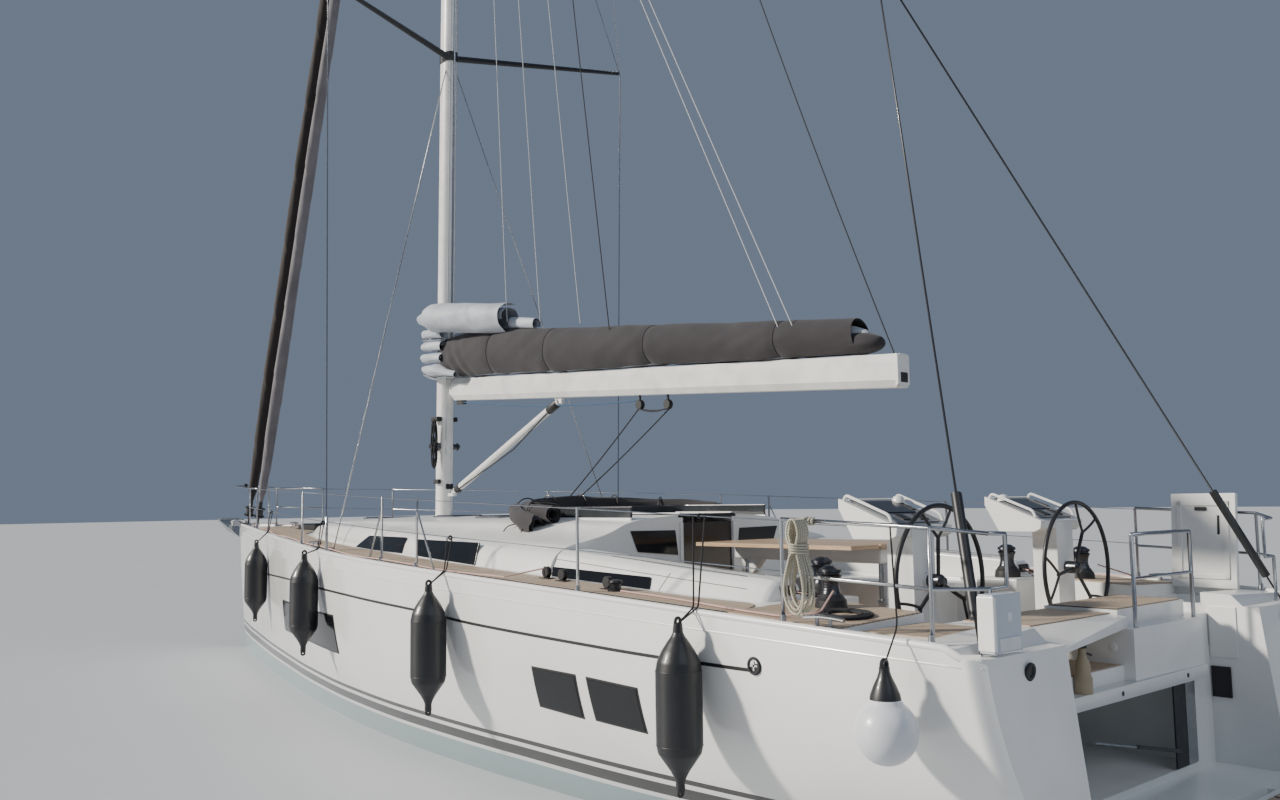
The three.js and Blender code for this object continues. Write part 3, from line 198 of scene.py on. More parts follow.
def hull_side(x, z):
    """Half breadth of the hull at a height: the section's formula solved for its angle."""
    keel = smooth(STATIONS[:, 0], STATIONS[:, 3], x)
    rise = (z - keel) / (deck_edge(x) - keel)
    a = np.arccos(np.clip(1 - rise, 0, 1))
    return half_beam(x) * np.sin(a) ** smooth(STATIONS[:, 0], STATIONS[:, 2], x)


def xyz(x, y, z):
    """Points from their coordinates, which may be grids, rows or single numbers."""
    return np.stack(np.broadcast_arrays(x, y, z), -1)


# Shapes: each is (vertices, faces, flow), where flow runs along and across a piece in metres
def grid(points, wrap_rows=False, wrap_columns=False, caps=False):
    """Quads between neighbouring rows and columns of points; caps close the first and last row."""
    rows, columns = points.shape[:2]
    r = np.arange(rows if wrap_rows else rows - 1)
    c = np.arange(columns if wrap_columns else columns - 1)
    a, b = np.meshgrid(r, c, indexing="ij")
    a2, b2 = (a + 1) % rows, (b + 1) % columns
    quads = np.stack([a * columns + b, a2 * columns + b, a2 * columns + b2, a * columns + b2], -1)
    faces = quads.reshape(-1, 4).tolist()
    if caps:
        faces.append(list(range(columns)))
        faces.append(list(range((rows - 1) * columns, rows * columns)))
    return points.reshape(-1, 3), faces, grid_flow(points).reshape(-1, 2)


def grid_flow(points):
    """Distance travelled down the rows' middle and across the columns' middle."""
    rows, columns = points.shape[:2]
    down = np.linalg.norm(np.diff(points[:, columns // 2], axis=0), axis=-1)
    across = np.linalg.norm(np.diff(points[rows // 2], axis=0), axis=-1)
    u = np.concatenate([[0], np.cumsum(down)])
    v = np.concatenate([[0], np.cumsum(across)])
    return np.stack(np.meshgrid(u, v, indexing="ij"), -1)


def normals(points):
    """Unit normals of a grid: the cross product of its two gradients."""
    n = np.cross(np.gradient(points, axis=0), np.gradient(points, axis=1))
    return n / np.maximum(np.linalg.norm(n, axis=-1, keepdims=True), 1e-9)


def shell(points, outer, inner=0.0, outward=None, flow=None):
    """A closed plate over a grid: one face moved out along the normals, one in, and four rims."""
    n = normals(points)
    if outward is not None and np.sum(n * outward) < 0:
        n = -n
    rows, columns = points.shape[:2]
    both = np.concatenate([points + n * outer, points - n * inner])
    flow = grid_flow(points) if flow is None else flow
    index = np.arange(rows * columns).reshape(rows, columns)
    top = np.stack([index[:-1, :-1], index[1:, :-1], index[1:, 1:], index[:-1, 1:]], -1).reshape(-1, 4)
    rim = np.concatenate([index[0, :-1], index[:-1, -1], index[-1, :0:-1], index[:0:-1, 0]])
    after = np.roll(rim, -1)
    size = rows * columns
    sides = np.stack([rim, after, after + size, rim + size], -1)
    faces = np.concatenate([top, top[:, ::-1] + size, sides]).tolist()
    return both.reshape(-1, 3), faces, np.concatenate([flow, flow]).reshape(-1, 2)


def ring_frame(path, closed=False):
    """Two unit vectors across a path at each point; the first lies in the path's best plane."""
    tangent = np.gradient(path, axis=0)
    if closed:
        tangent = np.roll(path, -1, 0) - np.roll(path, 1, 0)
    tangent /= np.linalg.norm(tangent, axis=-1, keepdims=True)
    flat = np.linalg.svd(path - path.mean(0))[2][-1]
    side = np.cross(tangent, flat)
    length = np.linalg.norm(side, axis=-1, keepdims=True)
    side = side / np.maximum(length, 1e-9)
    return side, np.cross(side, tangent)


def round_turn(count):
    """Angles evenly spaced round a circle."""
    return np.linspace(0, 2 * math.pi, count, endpoint=False)


def tube(path, radius, sides=10, closed=False, squash=1.0):
    """A round section carried along a path: centre + radius (cos side + sin up)."""
    path = np.asarray(path, float)
    side, up = ring_frame(path, closed)
    angle = round_turn(sides)[None, :, None]
    radius = np.broadcast_to(radius, len(path))[:, None, None]
    across = np.cos(angle) * side[:, None] + squash * np.sin(angle) * up[:, None]
    points = path[:, None] + radius * across
    return grid(points, wrap_rows=closed, wrap_columns=True, caps=not closed)


def unit(vector):
    """The vector scaled to a length of one."""
    return vector / np.linalg.norm(vector)


def straight(a, b, count=2):
    """Points from a to b, evenly spaced."""
    t = np.linspace(0, 1, count)[:, None]
    return np.asarray(a, float) * (1 - t) + np.asarray(b, float) * t


def rod(a, b, radius, sides=10):
    """A straight round bar from a to b."""
    return tube(straight(a, b), radius, sides)


def filleted(points, radius, steps=6):
    """A polyline whose corners are quadratic arcs starting radius away from each corner."""
    points = np.asarray(points, float)
    out = [points[:1]]
    t = np.linspace(0, 1, steps)[:, None]
    for before, corner, after in zip(points, points[1:], points[2:]):
        reach_in = min(radius, np.linalg.norm(before - corner) / 2)
        reach_out = min(radius, np.linalg.norm(after - corner) / 2)
        start = corner + unit(before - corner) * reach_in
        end = corner + unit(after - corner) * reach_out
        out.append((1 - t) ** 2 * start + 2 * t * (1 - t) * corner + t * t * end)
    out.append(points[-1:])
    return np.concatenate(out)


def bent(points, radius, fillet=0.08, sides=10):
    """A round bar along a polyline, its corners turned into arcs."""
    return tube(filleted(points, fillet), radius, sides)


def lathe(profile, base, axis=(0, 0, 1), sides=24, to_axis=True):
    """A (radius, height) profile turned about an axis through base. Its ends are closed flat: to_axis
    draws them in to the axis, where they aren't on it."""
    if to_axis:
        ends = [[(0, profile[i][1])] if profile[i][0] else [] for i in (0, -1)]
        profile = [*ends[0], *profile, *ends[1]]
    profile = np.asarray(profile, float)
    angle = round_turn(sides)
    r = np.maximum(profile[:, 0], 1e-4)[:, None]
    height = np.broadcast_to(profile[:, 1:], (len(r), sides))
    points = xyz(r * np.cos(angle), r * np.sin(angle), height)
    turn = np.array(Vector((0, 0, 1)).rotation_difference(Vector(axis)).to_matrix())
    return grid(points @ turn.T + np.asarray(base, float), wrap_columns=True, caps=True)


def box(low, high):
    """Eight corners between two opposite ones."""
    low, high = np.minimum(low, high), np.maximum(low, high)
    x, y, z = np.stack([low, high], -1)
    ring = [(0, 0), (1, 0), (1, 1), (0, 1)]
    points = np.array([[(x[i], y[j], z[k]) for i, j in ring] for k in (0, 1)])
    return grid(points, wrap_columns=True, caps=True)


def prism(profile, y0, y1):
    """An (x, z) outline carried from y0 to y1."""
    profile = np.asarray(profile, float)
    points = np.stack([np.insert(profile, 1, y, axis=1) for y in (y0, y1)])
    return grid(points, wrap_columns=True, caps=True)


def rounded(polyline, samples, width):
    """Rings of a polyline sampled evenly by corner number, then averaged over a window along the
    ring, so that corners turn round and straight stretches stay straight."""
    rings, corners = polyline.shape[:2]
    s = np.linspace(0, corners - 1, samples)
    i = np.minimum(s.astype(int), corners - 2)
    t = (s - i)[None, :, None]
    dense = polyline[:, i] * (1 - t) + polyline[:, i + 1] * t
    before, after = np.repeat(dense[:, :1], width, 1), np.repeat(dense[:, -1:], width, 1)
    padded = np.concatenate([before, dense, after], 1)
    total = np.cumsum(np.concatenate([np.zeros((rings, 1, 3)), padded], 1), 1)
    span = 2 * width + 1
    averaged = (total[:, span:] - total[:, :-span]) / span
    averaged[:, 0], averaged[:, -1] = dense[:, 0], dense[:, -1]
    return averaged


def sheave(centre, cheek, rim, groove, half, shoulder):
    """A block's cheeks with a groove between them, turned about an axis along Y."""
    profile = [(cheek, -half), (rim, -shoulder), (groove, 0), (rim, shoulder), (cheek, half)]
    return lathe(profile, centre, (0, 1, 0))


def mirrored(shape):
    """The shape on the boat's other side: y changes sign, and the faces run the other way round."""
    points, faces, flow = shape
    return points * np.array([1, -1, 1]), [face[::-1] for face in faces], flow


def both(shape):
    """A shape and its mirror image."""
    return [shape, mirrored(shape)]


def each_side(shapes):
    """Every shape of a row, followed by its mirror image."""
    return [s for shape in shapes for s in both(shape)]


def turned(shape, axis_y, axis_z, degrees):
    """A shape turned about an axis along X."""
    points, faces, flow = shape
    a = math.radians(degrees)
    y, z = points[:, 1] - axis_y, points[:, 2] - axis_z
    across = axis_y + y * math.cos(a) - z * math.sin(a)
    up = axis_z + y * math.sin(a) + z * math.cos(a)
    return xyz(points[:, 0], across, up), faces, flow


def board(x0, x1, y0, y1, z, thickness=0.008):
    """A flat plate of planks along X, its top thickness above z."""
    x, y = np.meshgrid(np.linspace(x0, x1, 4), np.linspace(y0, y1, 4), indexing="ij")
    return shell(xyz(x, y, z), thickness, 0.001, (0, 0, 1), np.stack([x, y], -1))


def sagging(a, b, sag, count=16):
    """A line from a to b that hangs sag below the chord at its middle, as a parabola."""
    path = straight(a, b, count)
    t = np.linspace(0, 1, count)
    path[:, 2] -= 4 * sag * t * (1 - t)
    return path


def bridge(first, second, count=14):
    """Points between the end of one path and the start of another, that leave and arrive along them:
    p = h0 a + h1 b + g0 u + g1 v, the cubic Hermite curve."""
    a, b = first[-1], second[0]
    reach = np.linalg.norm(b - a)
    u = unit(a - first[-2]) * reach
    v = unit(second[1] - b) * reach
    t = np.linspace(0, 1, count + 2)[1:-1, None]
    return ((2 * t ** 3 - 3 * t ** 2 + 1) * a + (3 * t ** 2 - 2 * t ** 3) * b
            + (t ** 3 - 2 * t ** 2 + t) * u + (t ** 3 - t ** 2) * v)


def torus(centre, axis, radius, thickness, sides, around):
    """A round section carried round a circle that stands across an axis."""
    a = round_turn(around)
    turn = np.array(Vector((0, 0, 1)).rotation_difference(Vector(axis)).to_matrix())
    ring = xyz(np.cos(a), np.sin(a), 0) * radius
    return tube(ring @ turn.T + np.asarray(centre, float), thickness, sides, closed=True)


def rolled(path, inner, outer, turns, wobble=0.08, squash=1.0, start=0.0, thickness=0.0015, scale=None):
    """Rolled cloth: a spiral section whose radius grows from inner to outer, carried along a path and
    waved by sin(3 angle + 4 s) and sin(7 angle - 9 s), s being the way along the path."""
    path = np.asarray(path, float)
    side, up = ring_frame(path)
    s = np.concatenate([[0], np.cumsum(np.linalg.norm(np.diff(path, axis=0), axis=-1))])[:, None]
    a = np.linspace(0, 2 * math.pi * turns, int(26 * turns))[None]
    wave = 1 + wobble * (0.6 * np.sin(3 * a + 4 * s) + 0.4 * np.sin(7 * a - 9 * s))
    radius = (inner + (outer - inner) * a / a.max()) * wave
    if scale is not None:
        radius = radius * scale[:, None]
    across = radius * np.cos(a + start)
    rise = squash * radius * np.sin(a + start)
    points = path[:, None] + across[..., None] * side[:, None] + rise[..., None] * up[:, None]
    return shell(points, thickness, thickness)


def side_pane(corners, surface, out, rows=8, columns=24, inner=0.006):
    """A pane between four (x, z) corners, laid on a side surface y(x, z)."""
    foot_forward, foot_aft, head_aft, head_forward = np.asarray(corners, float)
    u = np.linspace(0, 1, columns)[None, :, None]
    v = np.linspace(0, 1, rows)[:, None, None]
    foot = foot_forward * (1 - u) + foot_aft * u
    head = head_forward * (1 - u) + head_aft * u
    xz = foot * (1 - v) + head * v
    xx, zz = xz[..., 0], xz[..., 1]
    return shell(xyz(xx, surface(xx, zz), zz), out, inner, (0, 1, 0))


def placed(name, data):
    """A new object in the scene."""
    obj = bpy.data.objects.new(name, data)
    bpy.context.scene.collection.objects.link(obj)
    return obj


def dressed(name, mesh, look, body=HULL, replaces=(), bevel=0.0, sharp=35, segments=2):
    """Makes a mesh one piece: smooth shading, rounded edges, a body to ride on."""
    mesh.shade_smooth()
    mesh.set_sharp_from_angle(angle=math.radians(sharp))
    mesh.materials.clear()
    mesh.materials.append(FINISHES[look])
    obj = placed(name, mesh)
    if bevel:
        edge = obj.modifiers.new("rounded edges", "BEVEL")
        edge.width = bevel
        edge.segments = segments
        edge.limit_method = "ANGLE"
        edge.angle_limit = math.radians(35)
        edge.harden_normals = True
    if body:
        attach(obj, body)
    if replaces:
        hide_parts(*replaces)
    return obj


def put(name, shapes, look, **how):
    """Joins shapes into one piece with its flow attribute and its faces out."""
    shapes = shapes if isinstance(shapes, list) else [shapes]
    starts = np.cumsum([0] + [len(points) for points, _, _ in shapes])
    faces = [[v + start for v in face] for start, (_, own, _) in zip(starts, shapes) for face in own]
    mesh = bpy.data.meshes.new(name)
    mesh.from_pydata(np.concatenate([points for points, _, _ in shapes]), [], faces)
    flow = np.concatenate([own for _, _, own in shapes]).astype(np.float32)
    mesh.attributes.new("flow", "FLOAT2", "POINT").data.foreach_set("vector", flow.ravel())
    faces_out(mesh)
    return dressed(name, mesh, look, **how)


def soften(node, look, bevel=0.01, body=HULL, segments=2, sharp=35):
    """A copy of a node with doubles merged, flat faces joined and its edges rounded."""
    work = bmesh.new()
    work.from_mesh(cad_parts[node].data)
    bmesh.ops.remove_doubles(work, verts=work.verts, dist=2e-5)
    bmesh.ops.dissolve_limit(work, angle_limit=math.radians(0.5), verts=work.verts, edges=work.edges)
    mesh = bpy.data.meshes.new(node + "_skin")
    work.to_mesh(mesh)
    work.free()
    return dressed(node + "_skin", mesh, look, body=body, replaces=[node], bevel=bevel, sharp=sharp,
                   segments=segments)


def faces_out(mesh):
    """Turns a mesh's faces so that they look outward."""
    work = bmesh.new()
    work.from_mesh(mesh)
    bmesh.ops.recalc_face_normals(work, faces=work.faces)
    work.to_mesh(mesh)
    work.free()


def cut(obj, *boxes):
    """Takes boxes out of a piece."""
    for low, high in boxes:
        points, faces, _ = box(low, high)
        mesh = bpy.data.meshes.new("cutter")
        mesh.from_pydata(points, [], faces)
        faces_out(mesh)
        cutter = placed("cutter", mesh)
        step = obj.modifiers.new("cut", "BOOLEAN")
        step.operation = "DIFFERENCE"
        step.solver = "EXACT"
        step.object = cutter
        bpy.context.view_layer.objects.active = obj
        bpy.ops.object.modifier_apply(modifier=step.name)
        bpy.data.objects.remove(cutter)
        bpy.data.meshes.remove(mesh)


# Materials by name
FINISHES = {}


class Finish:
    """A material's node tree with short ways to add and link nodes."""

    def __init__(self, name, colour, roughness, **inputs):
        self.material = bpy.data.materials.new(name)
        FINISHES[name] = self.material
        self.material.use_nodes = True
        self.tree = self.material.node_tree
        self.shader = self.tree.nodes["Principled BSDF"]
        self.set(base_color=(*colour, 1), roughness=roughness, **inputs)
        self.material.diffuse_color = (*colour, 1)
        self.here = self.node("ShaderNodeTexCoord").outputs["Object"]

    def set(self, **inputs):
        """Sets the shader's inputs, each named as its socket in small letters."""
        for key, value in inputs.items():
            label = key.replace("_", " ").title().replace("Ior", "IOR")
            self.shader.inputs[label].default_value = value

    def node(self, kind, links=(), **settings):
        """Adds a node: links feed its sockets, settings fill its sockets or properties."""
        made = self.tree.nodes.new(kind)
        for key, value in settings.items():
            if key in made.inputs:
                made.inputs[key].default_value = value
            else:
                setattr(made, key, value)
        for socket, source in dict(links).items():
            self.tree.links.new(source, made.inputs[socket])
        return made

    def noise(self, scale, detail=3, vector=None):
        """Cloudy values between 0 and 1."""
        made = self.node("ShaderNodeTexNoise", {"Vector": vector or self.here}, Scale=scale, Detail=detail)
        return made.outputs["Fac"]

    def stretched(self, scale, vector=None):
        """Coordinates scaled along each axis."""
        made = self.node("ShaderNodeMapping", {"Vector": vector or self.here}, Scale=scale)
        return made.outputs["Vector"]

    def flow(self):
        """Metres along and across the piece, stored on its points."""
        return self.node("ShaderNodeAttribute", attribute_name="flow").outputs["Vector"]

    def math(self, operation, a, b=0.5):
        """One arithmetic step on two values or sockets."""
        made = self.node("ShaderNodeMath", operation=operation)
        for i, value in enumerate((a, b)):
            if isinstance(value, (int, float)):
                made.inputs[i].default_value = value
            else:
                self.tree.links.new(value, made.inputs[i])
        return made.outputs[0]

    def ramp(self, fac, stops, interpolation="LINEAR"):
        """Colours or greys by place on a ramp."""
        made = self.node("ShaderNodeValToRGB", {"Fac": fac})
        made.color_ramp.interpolation = interpolation
        while len(made.color_ramp.elements) < len(stops):
            made.color_ramp.elements.new(1)
        for element, (place, value) in zip(made.color_ramp.elements, stops):
            element.position = place
            element.color = (*value, 1) if isinstance(value, tuple) else (value, value, value, 1)
        return made.outputs["Color"]

    def tones(self, fac, rgb, *stops):
        """Shades of one colour on a ramp, each stop a place and a factor."""
        return self.ramp(fac, [(place, shade(rgb, factor)) for place, factor in stops])

    def mix(self, fac, a, b):
        """Two colours mixed by a factor; the mixer's colour sockets are its last two of that type."""
        made = self.node("ShaderNodeMix", {"Factor": fac}, data_type="RGBA")
        colours_in = [socket for socket in made.inputs if socket.type == "RGBA"]
        for socket, value in zip(colours_in, (a, b)):
            if isinstance(value, tuple):
                socket.default_value = (*value, 1)
            else:
                self.tree.links.new(value, socket)
        return [socket for socket in made.outputs if socket.type == "RGBA"][0]

    def colour_from(self, source):
        """Feeds the shader's colour."""
        self.tree.links.new(source, self.shader.inputs["Base Color"])

    def roughness_from(self, source, low, high):
        """Spreads a value over a range of roughness."""
        spread = self.node("ShaderNodeMapRange", {"Value": source})
        spread.inputs["To Min"].default_value = low
        spread.inputs["To Max"].default_value = high
        self.tree.links.new(spread.outputs["Result"], self.shader.inputs["Roughness"])

    def bump_from(self, source, strength, distance):
        """Adds a bump on top of those before it."""
        made = self.node("ShaderNodeBump", {"Height": source}, Strength=strength, Distance=distance)
        last = self.shader.inputs["Normal"]
        if last.is_linked:
            self.tree.links.new(last.links[0].from_socket, made.inputs["Normal"])
        self.tree.links.new(made.outputs["Normal"], last)


def shade(rgb, factor):
    """A colour made darker or lighter by a factor."""
    return tuple(min(1.0, c * factor) for c in rgb)


def gelcoat_finish():
    """Glossy white with faint dirt, boot stripes by height and bottom paint below the water."""
    c = colours()
    f = Finish("gelcoat", c.gelcoat[:], 0.16, coat_weight=0.5, coat_roughness=0.06)
    height = f.node("ShaderNodeSeparateXYZ", {"Vector": f.here}).outputs["Z"]
    # The ramp runs over heights of -1 to 1 m
    share = f.math("MULTIPLY", f.math("ADD", height, 1.0), 0.5)
    dirt = f.tones(f.noise(1.1, 4), c.gelcoat, (0.35, 0.93), (0.6, 1))
    grey = (0.28, 0.38, 0.40)
    stripe, white = tuple(c.stripe), (0.80, 0.80, 0.78)
    bands = f.ramp(share, [
        (0.0, tuple(c.bottom_paint)), (0.500, grey), (0.6275, white), (0.645, stripe),
        (0.6925, white), (0.7125, stripe), (0.735, white),
    ], "CONSTANT")
    above = f.math("GREATER_THAN", share, 0.7351)
    f.colour_from(f.mix(above, bands, dirt))
    f.roughness_from(f.noise(3.0), 0.12, 0.24)
    f.bump_from(f.noise(0.9, 2), 0.05, 0.02)


def moulding_finish(name, rgb, roughness=0.3):
    """Moulded deck plastic: faint mottling and an even, slightly wavy gloss."""
    f = Finish(name, rgb, roughness, coat_weight=0.3, coat_roughness=0.12)
    f.colour_from(f.tones(f.noise(2.2, 4), rgb, (0.3, 0.92), (0.62, 1)))
    f.roughness_from(f.noise(9.0), roughness - 0.06, roughness + 0.1)
    f.bump_from(f.noise(1.6, 2), 0.06, 0.01)


def nonskid_finish():
    """Fine raised diamonds in grey-white."""
    rgb = (0.70, 0.71, 0.70)
    f = Finish("nonskid", rgb, 0.6)
    cells = f.node("ShaderNodeTexVoronoi", {"Vector": f.here}, Scale=160.0).outputs["Distance"]
    f.colour_from(f.tones(f.noise(3.0, 4), rgb, (0.3, 0.9), (0.65, 1)))
    f.bump_from(cells, 0.5, 0.002)


def teak_finish():
    """Planks by flow: dark seams every plank, each with its own tone, fine grain along it."""
    s, c = sizes(), colours()
    f = Finish("teak", c.teak[:], 0.62)
    parts = f.node("ShaderNodeSeparateXYZ", {"Vector": f.flow()}).outputs
    plank = f.math("DIVIDE", parts["Y"], s.plank_width)
    edge = f.math("FRACT", plank)
    seam = f.math("LESS_THAN", edge, s.caulk_width / s.plank_width)
    number = f.math("FLOOR", plank)
    tone = f.node("ShaderNodeTexWhiteNoise", {"W": number}, noise_dimensions="1D").outputs["Value"]
    grain = f.noise(6.0, 8, f.stretched((2.0, 60.0, 60.0), f.flow()))
    wood = f.tones(grain, c.teak, (0.25, 0.68), (0.5, 1), (0.8, 1.35))
    toned = f.mix(f.math("MULTIPLY", tone, 0.35), wood, (0.50, 0.43, 0.35))
    f.colour_from(f.mix(seam, toned, (0.02, 0.02, 0.02)))
    f.roughness_from(grain, 0.5, 0.75)
    f.bump_from(f.math("SUBTRACT", f.math("MULTIPLY", grain, 0.2), seam), 0.4, 0.002)


def wood_finish():
    """Varnished planks: long grain along X in Object coordinates, with faint darker streaks."""
    rgb = (0.50, 0.34, 0.20)
    f = Finish("wood", rgb, 0.4, coat_weight=0.4, coat_roughness=0.15)
    grain = f.noise(5.0, 8, f.stretched((1.2, 26.0, 26.0)))
    f.colour_from(f.tones(grain, rgb, (0.25, 0.72), (0.5, 1), (0.8, 1.3)))
    f.roughness_from(grain, 0.3, 0.5)
    f.bump_from(grain, 0.15, 0.001)


def metal_finish(name, rgb, roughness, brushed=0.0):
    """Metal with drifting roughness and, where brushed, fine lines along Z."""
    f = Finish(name, rgb, roughness, metallic=1.0)
    f.colour_from(f.tones(f.noise(30.0, 4), rgb, (0.3, 0.86), (0.65, 1)))
    f.roughness_from(f.noise(18.0), roughness * 0.7, roughness * 1.5)
    if brushed:
        f.bump_from(f.noise(40.0, 3, f.stretched((12, 12, 0.6))), brushed, 0.0006)


def paint_finish(name, rgb, roughness, bump=0.05):
    """Paint or plastic with slight orange peel and handling marks."""
    f = Finish(name, rgb, roughness, coat_weight=0.12, coat_roughness=0.06)
    f.colour_from(f.tones(f.noise(5.0, 5), rgb, (0.3, 0.85), (0.62, 1)))
    f.roughness_from(f.noise(14.0), roughness * 0.75, roughness * 1.35)
    f.bump_from(f.noise(120.0, 2), bump, 0.001)


def cloth_finish(name, rgb, roughness=0.9, fold=0.3, weave=700.0, sheen=0.12):
    """Woven cloth: crossed threads in the bump, soft wrinkles and sun-faded patches."""
    f = Finish(name, rgb, roughness, sheen_weight=sheen, sheen_roughness=0.5)
    threads = [f.node("ShaderNodeTexWave", {"Vector": f.here}, Scale=weave, bands_direction=way,
                      Distortion=0.4).outputs["Fac"] for way in ("X", "Z")]
    f.colour_from(f.tones(f.noise(2.6, 5), rgb, (0.3, 0.78), (0.7, 1.2)))
    f.bump_from(f.noise(3.5, 5, f.stretched((1.0, 1.0, 0.5))), fold, 0.03)
    f.bump_from(f.math("ADD", *threads), 0.25, 0.0006)


def glass_finish(name, rgb, roughness, clear=0.0):
    """Dark glazing with a faint film of salt."""
    f = Finish(name, rgb, roughness, coat_weight=clear, coat_roughness=0.03, transmission_weight=clear,
               ior=1.42)
    f.roughness_from(f.noise(8.0, 4), roughness, roughness + 0.08)
    f.colour_from(f.tones(f.noise(2.0, 4), rgb, (0.35, 1), (0.8, 1.5)))


def rope_finish(name, rgb, fleck):
    """Twisted strands: slanting ridges along the flow, with flecks of a second yarn."""
    f = Finish(name, rgb, 0.85)
    strand = f.node("ShaderNodeTexWave", {"Vector": f.stretched((1, 1.2, 1), f.flow())}, Scale=34.0,
                    bands_direction="DIAGONAL", Distortion=0.3).outputs["Fac"]
    f.colour_from(f.ramp(strand, [(0.2, fleck), (0.55, rgb)]))
    f.bump_from(strand, 0.8, 0.002)


def bottom_finish(name, rgb):
    """Antifouling or cast iron under water: rolled, rough and stained."""
    f = Finish(name, rgb, 0.75)
    f.colour_from(f.tones(f.noise(4.0, 6), rgb, (0.3, 0.6), (0.6, 1), (0.85, 1.5)))
    f.bump_from(f.noise(60.0, 4), 0.3, 0.002)


class YACHT_OT_finishes(bpy.types.Operator):
    """Makes the materials of all pieces"""
    bl_idname = "yacht.finishes"
    bl_label = "Finishes"

    def execute(self, context):
        c = colours()
        gelcoat_finish()
        moulding_finish("moulding", (0.84, 0.84, 0.82))
        moulding_finish("seat_moulding", (0.72, 0.73, 0.72), 0.45)
        nonskid_finish()
        teak_finish()
        metal_finish("stainless", (0.46, 0.47, 0.49), 0.20)
        metal_finish("dark_steel", (0.10, 0.10, 0.11), 0.28)
        metal_finish("galvanised", (0.50, 0.52, 0.53), 0.42, 0.2)
        paint_finish("spar", c.spar[:], 0.3)
        paint_finish("black_paint", (0.018, 0.019, 0.021), 0.4)
        paint_finish("black_plastic", (0.012, 0.012, 0.014), 0.5, bump=0.12)
        paint_finish("rubber", c.fender[:], 0.42, bump=0.1)
        paint_finish("white_vinyl", (0.72, 0.74, 0.78), 0.32)
        cloth_finish("canvas", c.canvas[:])
        cloth_finish("headsail", c.headsail_wrap[:], fold=0.5)
        cloth_finish("headsail_pale", (0.16, 0.15, 0.16), fold=0.5)
        cloth_finish("sailcloth", c.sailcloth[:], 0.6, 0.45, 900.0, 0.1)
        glass_finish("window", (0.006, 0.007, 0.009), 0.06)
        rope_finish("black_rope", (0.03, 0.03, 0.034), (0.01, 0.01, 0.012))
        rope_finish("cream_rope", (0.62, 0.58, 0.46), (0.35, 0.33, 0.26))
        rope_finish("red_rope", (0.55, 0.20, 0.16), (0.75, 0.70, 0.66))
        rope_finish("white_rope", (0.62, 0.63, 0.65), (0.30, 0.32, 0.36))
        bottom_finish("antifouling", c.bottom_paint[:])
        bottom_finish("cast_iron", (0.06, 0.065, 0.07))
        metal_finish("bronze", (0.60, 0.40, 0.18), 0.3)
        wood_finish()
        glass_finish("smoked", (0.030, 0.018, 0.012), 0.1)
        glass_finish("screen_glass", (0.05, 0.055, 0.06), 0.03, 0.35)
        paint_finish("panel_grey", (0.17, 0.18, 0.20), 0.45)
        paint_finish("wheel_black", (0.014, 0.014, 0.016), 0.42, bump=0.2)
        moulding_finish("case_grey", (0.50, 0.55, 0.62), 0.42)
        paint_finish("canister", (0.40, 0.33, 0.22), 0.35)
        paint_finish("seam", (0.10, 0.10, 0.10), 0.7)
        rope_finish("blue_rope", (0.05, 0.14, 0.26), (0.02, 0.05, 0.12))
        return {"FINISHED"}


# The camera fitted to the photograph: focal length and width in pixels, angles, place in metres
FOCAL_PIXELS, PHOTO_WIDTH, SENSOR_WIDTH = 1099.5, 1280, 36.0
CAMERA_YAW, CAMERA_PITCH, CAMERA_ROLL = math.radians(-41.41), math.radians(5.28), -0.01378
CAMERA_PLACE = (-10.988, 7.491, 2.359)
SKY, SKY_STRENGTH = (0.55, 0.68, 0.92, 1), 0.28
# Name, strength, direction, angular width in degrees, tint
SUNS = [
    ("key", 5.9, (-0.50, -0.66, -0.44), 5.0, (1.0, 0.94, 0.84)),
    ("fill", 0.5, (0.7, -0.1, -0.6), 40.0, (0.85, 0.92, 1.0)),
]


